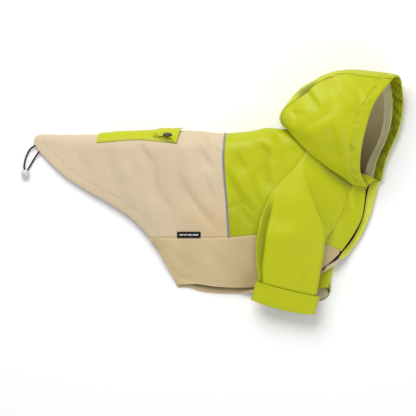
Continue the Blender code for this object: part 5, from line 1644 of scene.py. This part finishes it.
# %% Front bands
BAND_INNER = ((144.4, -95.7), (156.3, -90), (165.2, -77.8), (173.8, -67.4), (186.7, -43.6), (192.6, -24),
              (194.4, -11), (196.8, 1), (200.4, 11))
BAND_COLUMNS = 40
BAND_ROWS = (0.18, 0.36, 0.55, 0.74)  # rows of stitches, as shares of the band's width
outer_line = through(FAR_EDGE, 400)
inner_line = through(BAND_INNER, 200)
for name, low_y, high_y, look, slot, count, replaced, stand in (
    ("band", -87.6, 13.0, lime_band_lit, "lime", 96, "placket_far", 5.8),
    ("band_low", -106.0, -86.4, sand_band_lit, "sand", 30, "placket_far_lower", 4.2),
):
    edge = outer_line[(outer_line[:, 1] > low_y) & (outer_line[:, 1] < high_y) & (outer_line[:, 0] > 100)]
    strip = inner_line[(inner_line[:, 1] > low_y) & (inner_line[:, 1] < high_y - 1)]
    plan = loft((strip, edge), count, BAND_COLUMNS).swapaxes(0, 1)
    over = np.linspace(0, 1, BAND_COLUMNS)[None, :]
    width = np.linalg.norm(plan[:, -1] - plan[:, 0], axis=1)[:, None]
    rim_in = np.minimum(over, 1 - over) * width
    level = on_far(plan)[..., 2] + stand - 1.1 * (1 - rounded(rim_in, 1.4))
    run = lengths(plan, 0)
    for place in BAND_ROWS:
        away = (over - place) * width
        level = level - groove(away, 0.14, 0.7) + puckers(away, run, 0.10, 1.5, 5.0)
    grid = np.concatenate([plan, level[..., None]], axis=-1)
    # painted shade along the band's inner edge, beside the gap
    band = wall(lay(name, grid, look, np.broadcast_to(over < 0.09, grid.shape[:2]).astype(float)))
    rows = [grid[1:-1, round(share * (BAND_COLUMNS - 1))] for share in BAND_ROWS]
    rows = stitched(f"{name}_stitches", rows, THREADS[slot])
    stated(band, [replaced], [grid])

# %% Hook tape
# a dark sheet in place of shade: the tape runs on about 18 mm past the real tape's end, so the gap shows
# black
TAPE_FROM, TAPE_TO = -91.0, 3.0  # along y
TAPE_ACROSS = (15.0, -2.0)  # from its left edge to its right one
TAPE_STAND = 3.6
beside_band = (inner_line[:, 1] > TAPE_FROM) & (inner_line[:, 1] < TAPE_TO)
tape_right = through(inner_line[beside_band], 80) + (0.6, 0.0)
tape = loft((tape_right - TAPE_ACROSS, tape_right), 80, 12).swapaxes(0, 1)
tape_grid = np.concatenate([tape, (on_far(tape)[..., 2] + TAPE_STAND)[..., None]], axis=-1)
tape_piece = wall(lay("hook_side", tape_grid, hook))
stated(tape_piece, ["hook_tape"], [tape_grid])

# %% [markdown]
# ## Piping, leash flap and tab
# A reflective piping rounds out the seam between the two colours.  Over the leash slit on the
# back lies a long flap, closed by a tab with a metal snap cap.

# %% Piping
PIPING_RADIUS = 1.6
TUCKED = 0.35  # how far the piping's middle lies in the seam
near_y = np.linspace(belly_seam_y(PIPING_X) + 1.0, back_y(PIPING_X) - back_round(PIPING_X), 90)
near_run = on_near(np.stack([piped_seam_x(near_y), near_y], axis=-1)) - (0.0, 0.0, TUCKED)
turn = np.arange(84.0, -85.0, -6.0)
over_run = on_fold(near_run[-1, 0] + seam_swing(turn), turn, -0.5)
far_y = near_y[::-4]
far_run = np.stack([piped_seam_x(far_y), far_y, np.full_like(far_y, PIPING_RADIUS)], axis=-1)
over_run[:, 2] = np.maximum(over_run[:, 2], PIPING_RADIUS)
piping_path = np.concatenate([near_run, over_run, far_run])
piping = closed_ring("reflective_piping", tube_grid(piping_path, PIPING_RADIUS), film)
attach(piping, "root")
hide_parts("piping")
piping_length = float(np.linalg.norm(np.diff(piping_path, axis=0), axis=1).sum())
print(f"piping: {piping_length:.0f} mm, over the back and down both sides")

# %% Leash flap
FLAP = {"x": (-156.0, -51.0), "top_x": (-150.0, -54.0), "y": (62.0, 63.6, 65.6, 65.6, 63.6, 61.4)}
TAB = {"low_left": (-80.5, 70.8), "low_right": (-51.7, 61.3), "top_left": -74.0, "top_right": -43.0}
FLAP_STITCH_IN = 2.4
FLAP_ABOVE = 2.1  # over the fold of the back
FLAP_END = -12.0  # the angle of the fold at which it ends
EDGE_DROP = 0.8  # how far the edges of flap and tab turn down


def trimmed(grid, drop, stitch_in):
    """Edges of a lined flap: they turn down a little, and a stitch groove runs inside them."""
    u, v = lengths(grid, 1), lengths(grid, 0)
    edge = np.minimum(np.minimum(u, u[:, -1:] - u), np.minimum(v, v[-1:] - v))
    face = normals(grid)
    sink = drop * (1 - rounded(edge, 1.4)) + groove(edge - stitch_in, 0.28, 0.7)
    lift = 0.12 * wander(u / 7.0, v / 7.0) * smoothstep(edge, 0.5, 4.0)
    return grid + face * (lift - sink)[..., None]


columns = 120
low_x = np.linspace(*FLAP["x"], columns)
low_y = spline(np.linspace(*FLAP["x"], len(FLAP["y"])), FLAP["y"], low_x)
start = fold_angle(low_x, low_y)
top_x = np.linspace(*FLAP["top_x"], columns)
rows = []
for step in np.linspace(0, 1, 44):
    angle = start + (FLAP_END - start) * step
    x = low_x + (top_x - low_x) * step
    wavy = 0.35 * wander(x / 16.0, 0.5) * (1 - step) ** 2
    rows.append(on_fold(x, angle, FLAP_ABOVE + wavy))
flap_grid = trimmed(np.array(rows), EDGE_DROP, FLAP_STITCH_IN)
tab_foot = (TAB["low_left"], TAB["low_right"])
# painted shadow along the foot of the tab
tab_shadow = groove(to_line(flap_grid[..., 0], flap_grid[..., 1], tab_foot)[0], 1.0, 1.6)
flap = wall(lay("flap", flap_grid, lime, np.maximum(hollows(flap_grid), tab_shadow)))
flap_rows = [beside_edge(flap_grid, FLAP_STITCH_IN, where)[3:-3] for where in ("low", "left", "right")]
flap_rows = stitched("flap_stitches", flap_rows, THREADS["lime"])
stated(flap, ["leash_flap"], [flap_grid])

# %% Snap tab
SNAP_PLACE = (-63.2, 50.0)  # x, and the angle of the fold
SNAP_TILT = 20.0  # rise of the cap's axis
SNAP_DIAMETER = 12.5
TAB_STITCH_IN = 2.0
TAB_ABOVE, CAP_ABOVE = 3.9, 5.0  # over the fold of the back
TAB_END = -4.0
columns = 44
across = np.linspace(0, 1, columns)
low_left, low_right = np.array(TAB["low_left"]), np.array(TAB["low_right"])
tab_low = low_left + (low_right - low_left) * across[:, None]
tab_low[:, 1] += 2.2 * np.exp(-((across / 0.10) ** 2))  # its lower left corner is cut round
start = fold_angle(tab_low[:, 0], tab_low[:, 1])
top_x = np.linspace(TAB["top_left"], TAB["top_right"], columns)
rows = []
for step in np.linspace(0, 1, 34):
    angle = start + (TAB_END - start) * step
    x = tab_low[:, 0] + (top_x - tab_low[:, 0]) * step
    stand = 1.7 * (1 - step) ** 2 * (1 - across)
    rows.append(on_fold(x, angle, TAB_ABOVE + stand))
tab_grid = trimmed(np.array(rows), EDGE_DROP, TAB_STITCH_IN)
cap_centre = on_fold(np.array([SNAP_PLACE[0]]), np.array([SNAP_PLACE[1]]), CAP_ABOVE)[0]
cap_axis = np.array([0.0, math.cos(math.radians(SNAP_TILT)), math.sin(math.radians(SNAP_TILT))])
off_seat = (cap_centre - tab_grid) @ cap_axis
from_cap = np.linalg.norm(tab_grid - cap_centre + off_seat[..., None] * cap_axis, axis=-1)
seated = 1 - smoothstep(from_cap, 0.46 * SNAP_DIAMETER, 0.95 * SNAP_DIAMETER)
tab_grid = tab_grid + cap_axis * (np.clip(off_seat - 0.1, -1.0, 4.0) * seated)[..., None]
tab = wall(lay("tab", tab_grid, lime, np.zeros(tab_grid.shape[:2])))
tab_rows = [beside_edge(tab_grid, TAB_STITCH_IN, where)[3:-3] for where in ("low", "left", "right")]
tab_rows = stitched("tab_stitches", tab_rows, THREADS["lime"])
stated(tab, ["snap_tab"], [tab_grid])

# %% Snap cap
CAP_PROFILE = (  # radius as a share of the cap's, and height in mm
    (0.90, 0), (0.97, 0.15), (1, 0.5), (0.99, 0.95), (0.94, 1.35), (0.86, 1.6),
    (0.76, 1.68), (0.68, 1.6), (0.60, 1.42), (0.54, 1.38), (0.40, 1.62), (0.22, 1.78),
)
CAP_HEIGHT = 1.82
cap_profile = [(share * SNAP_DIAMETER / 2, height) for share, height in CAP_PROFILE]
cap_grid = turned_grid([(POLE, 0.0), *cap_profile, (POLE, CAP_HEIGHT)], cap_centre, cap_axis)
snap = closed_ring("snap", cap_grid, gunmetal)
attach(snap, "root")
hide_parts("snap_cap")
print("snap cap:", SNAP_DIAMETER, "mm wide,", CAP_HEIGHT, "mm high")

# %% [markdown]
# ## Surface and light
# The coat lies on a plain pale surface under one broad light above its back.  A weaker light
# beyond its belly and an even glow from all round keep the folds soft, and the shadow falls a
# little below the belly.

# %% Surface and lights
FLOOR_SIZE = 16.0  # metres
FLOOR_BELOW = 0.2  # mm under the coat
GLOW = 0.40
bpy.ops.mesh.primitive_plane_add(size=FLOOR_SIZE, location=(0.0, 0.0, -FLOOR_BELOW * MM))
floor = bpy.context.object
floor.name = "floor"
ground = Finish("pale_floor", (0.985, 0.985, 0.985), 0.9, specular_ior_level=0.1)
floor.data.materials.append(ground.made)


def softbox(name, place, aim, size, power):
    """A round area light: where it stands and what it faces in metres, its power in watts."""
    bpy.ops.object.light_add(type="AREA", location=place)
    made = bpy.context.object
    made.name = name
    made.data.shape = "DISK"
    made.data.size = size
    made.data.energy = power
    made.rotation_euler = (Vector(aim) - Vector(place)).to_track_quat("-Z", "Y").to_euler()
    return made


key = softbox("key", (-0.36, 1.02, 1.34), (0.0, 0.0, 0.0), 1.3, 25.0)
side = softbox("side", (1.2, -1.4, 1.2), (0.1, 0.0, 0.0), 1.2, 12.5)
scene = bpy.context.scene
scene.world = bpy.data.worlds.new("studio")
scene.world.use_nodes = True
background = scene.world.node_tree.nodes["Background"].inputs
background["Color"].default_value = (1.0, 1.0, 1.0, 1.0)
background["Strength"].default_value = GLOW
scene.view_settings.view_transform = "Standard"
scene.view_settings.look = "None"
print("lights:", key.name, side.name)
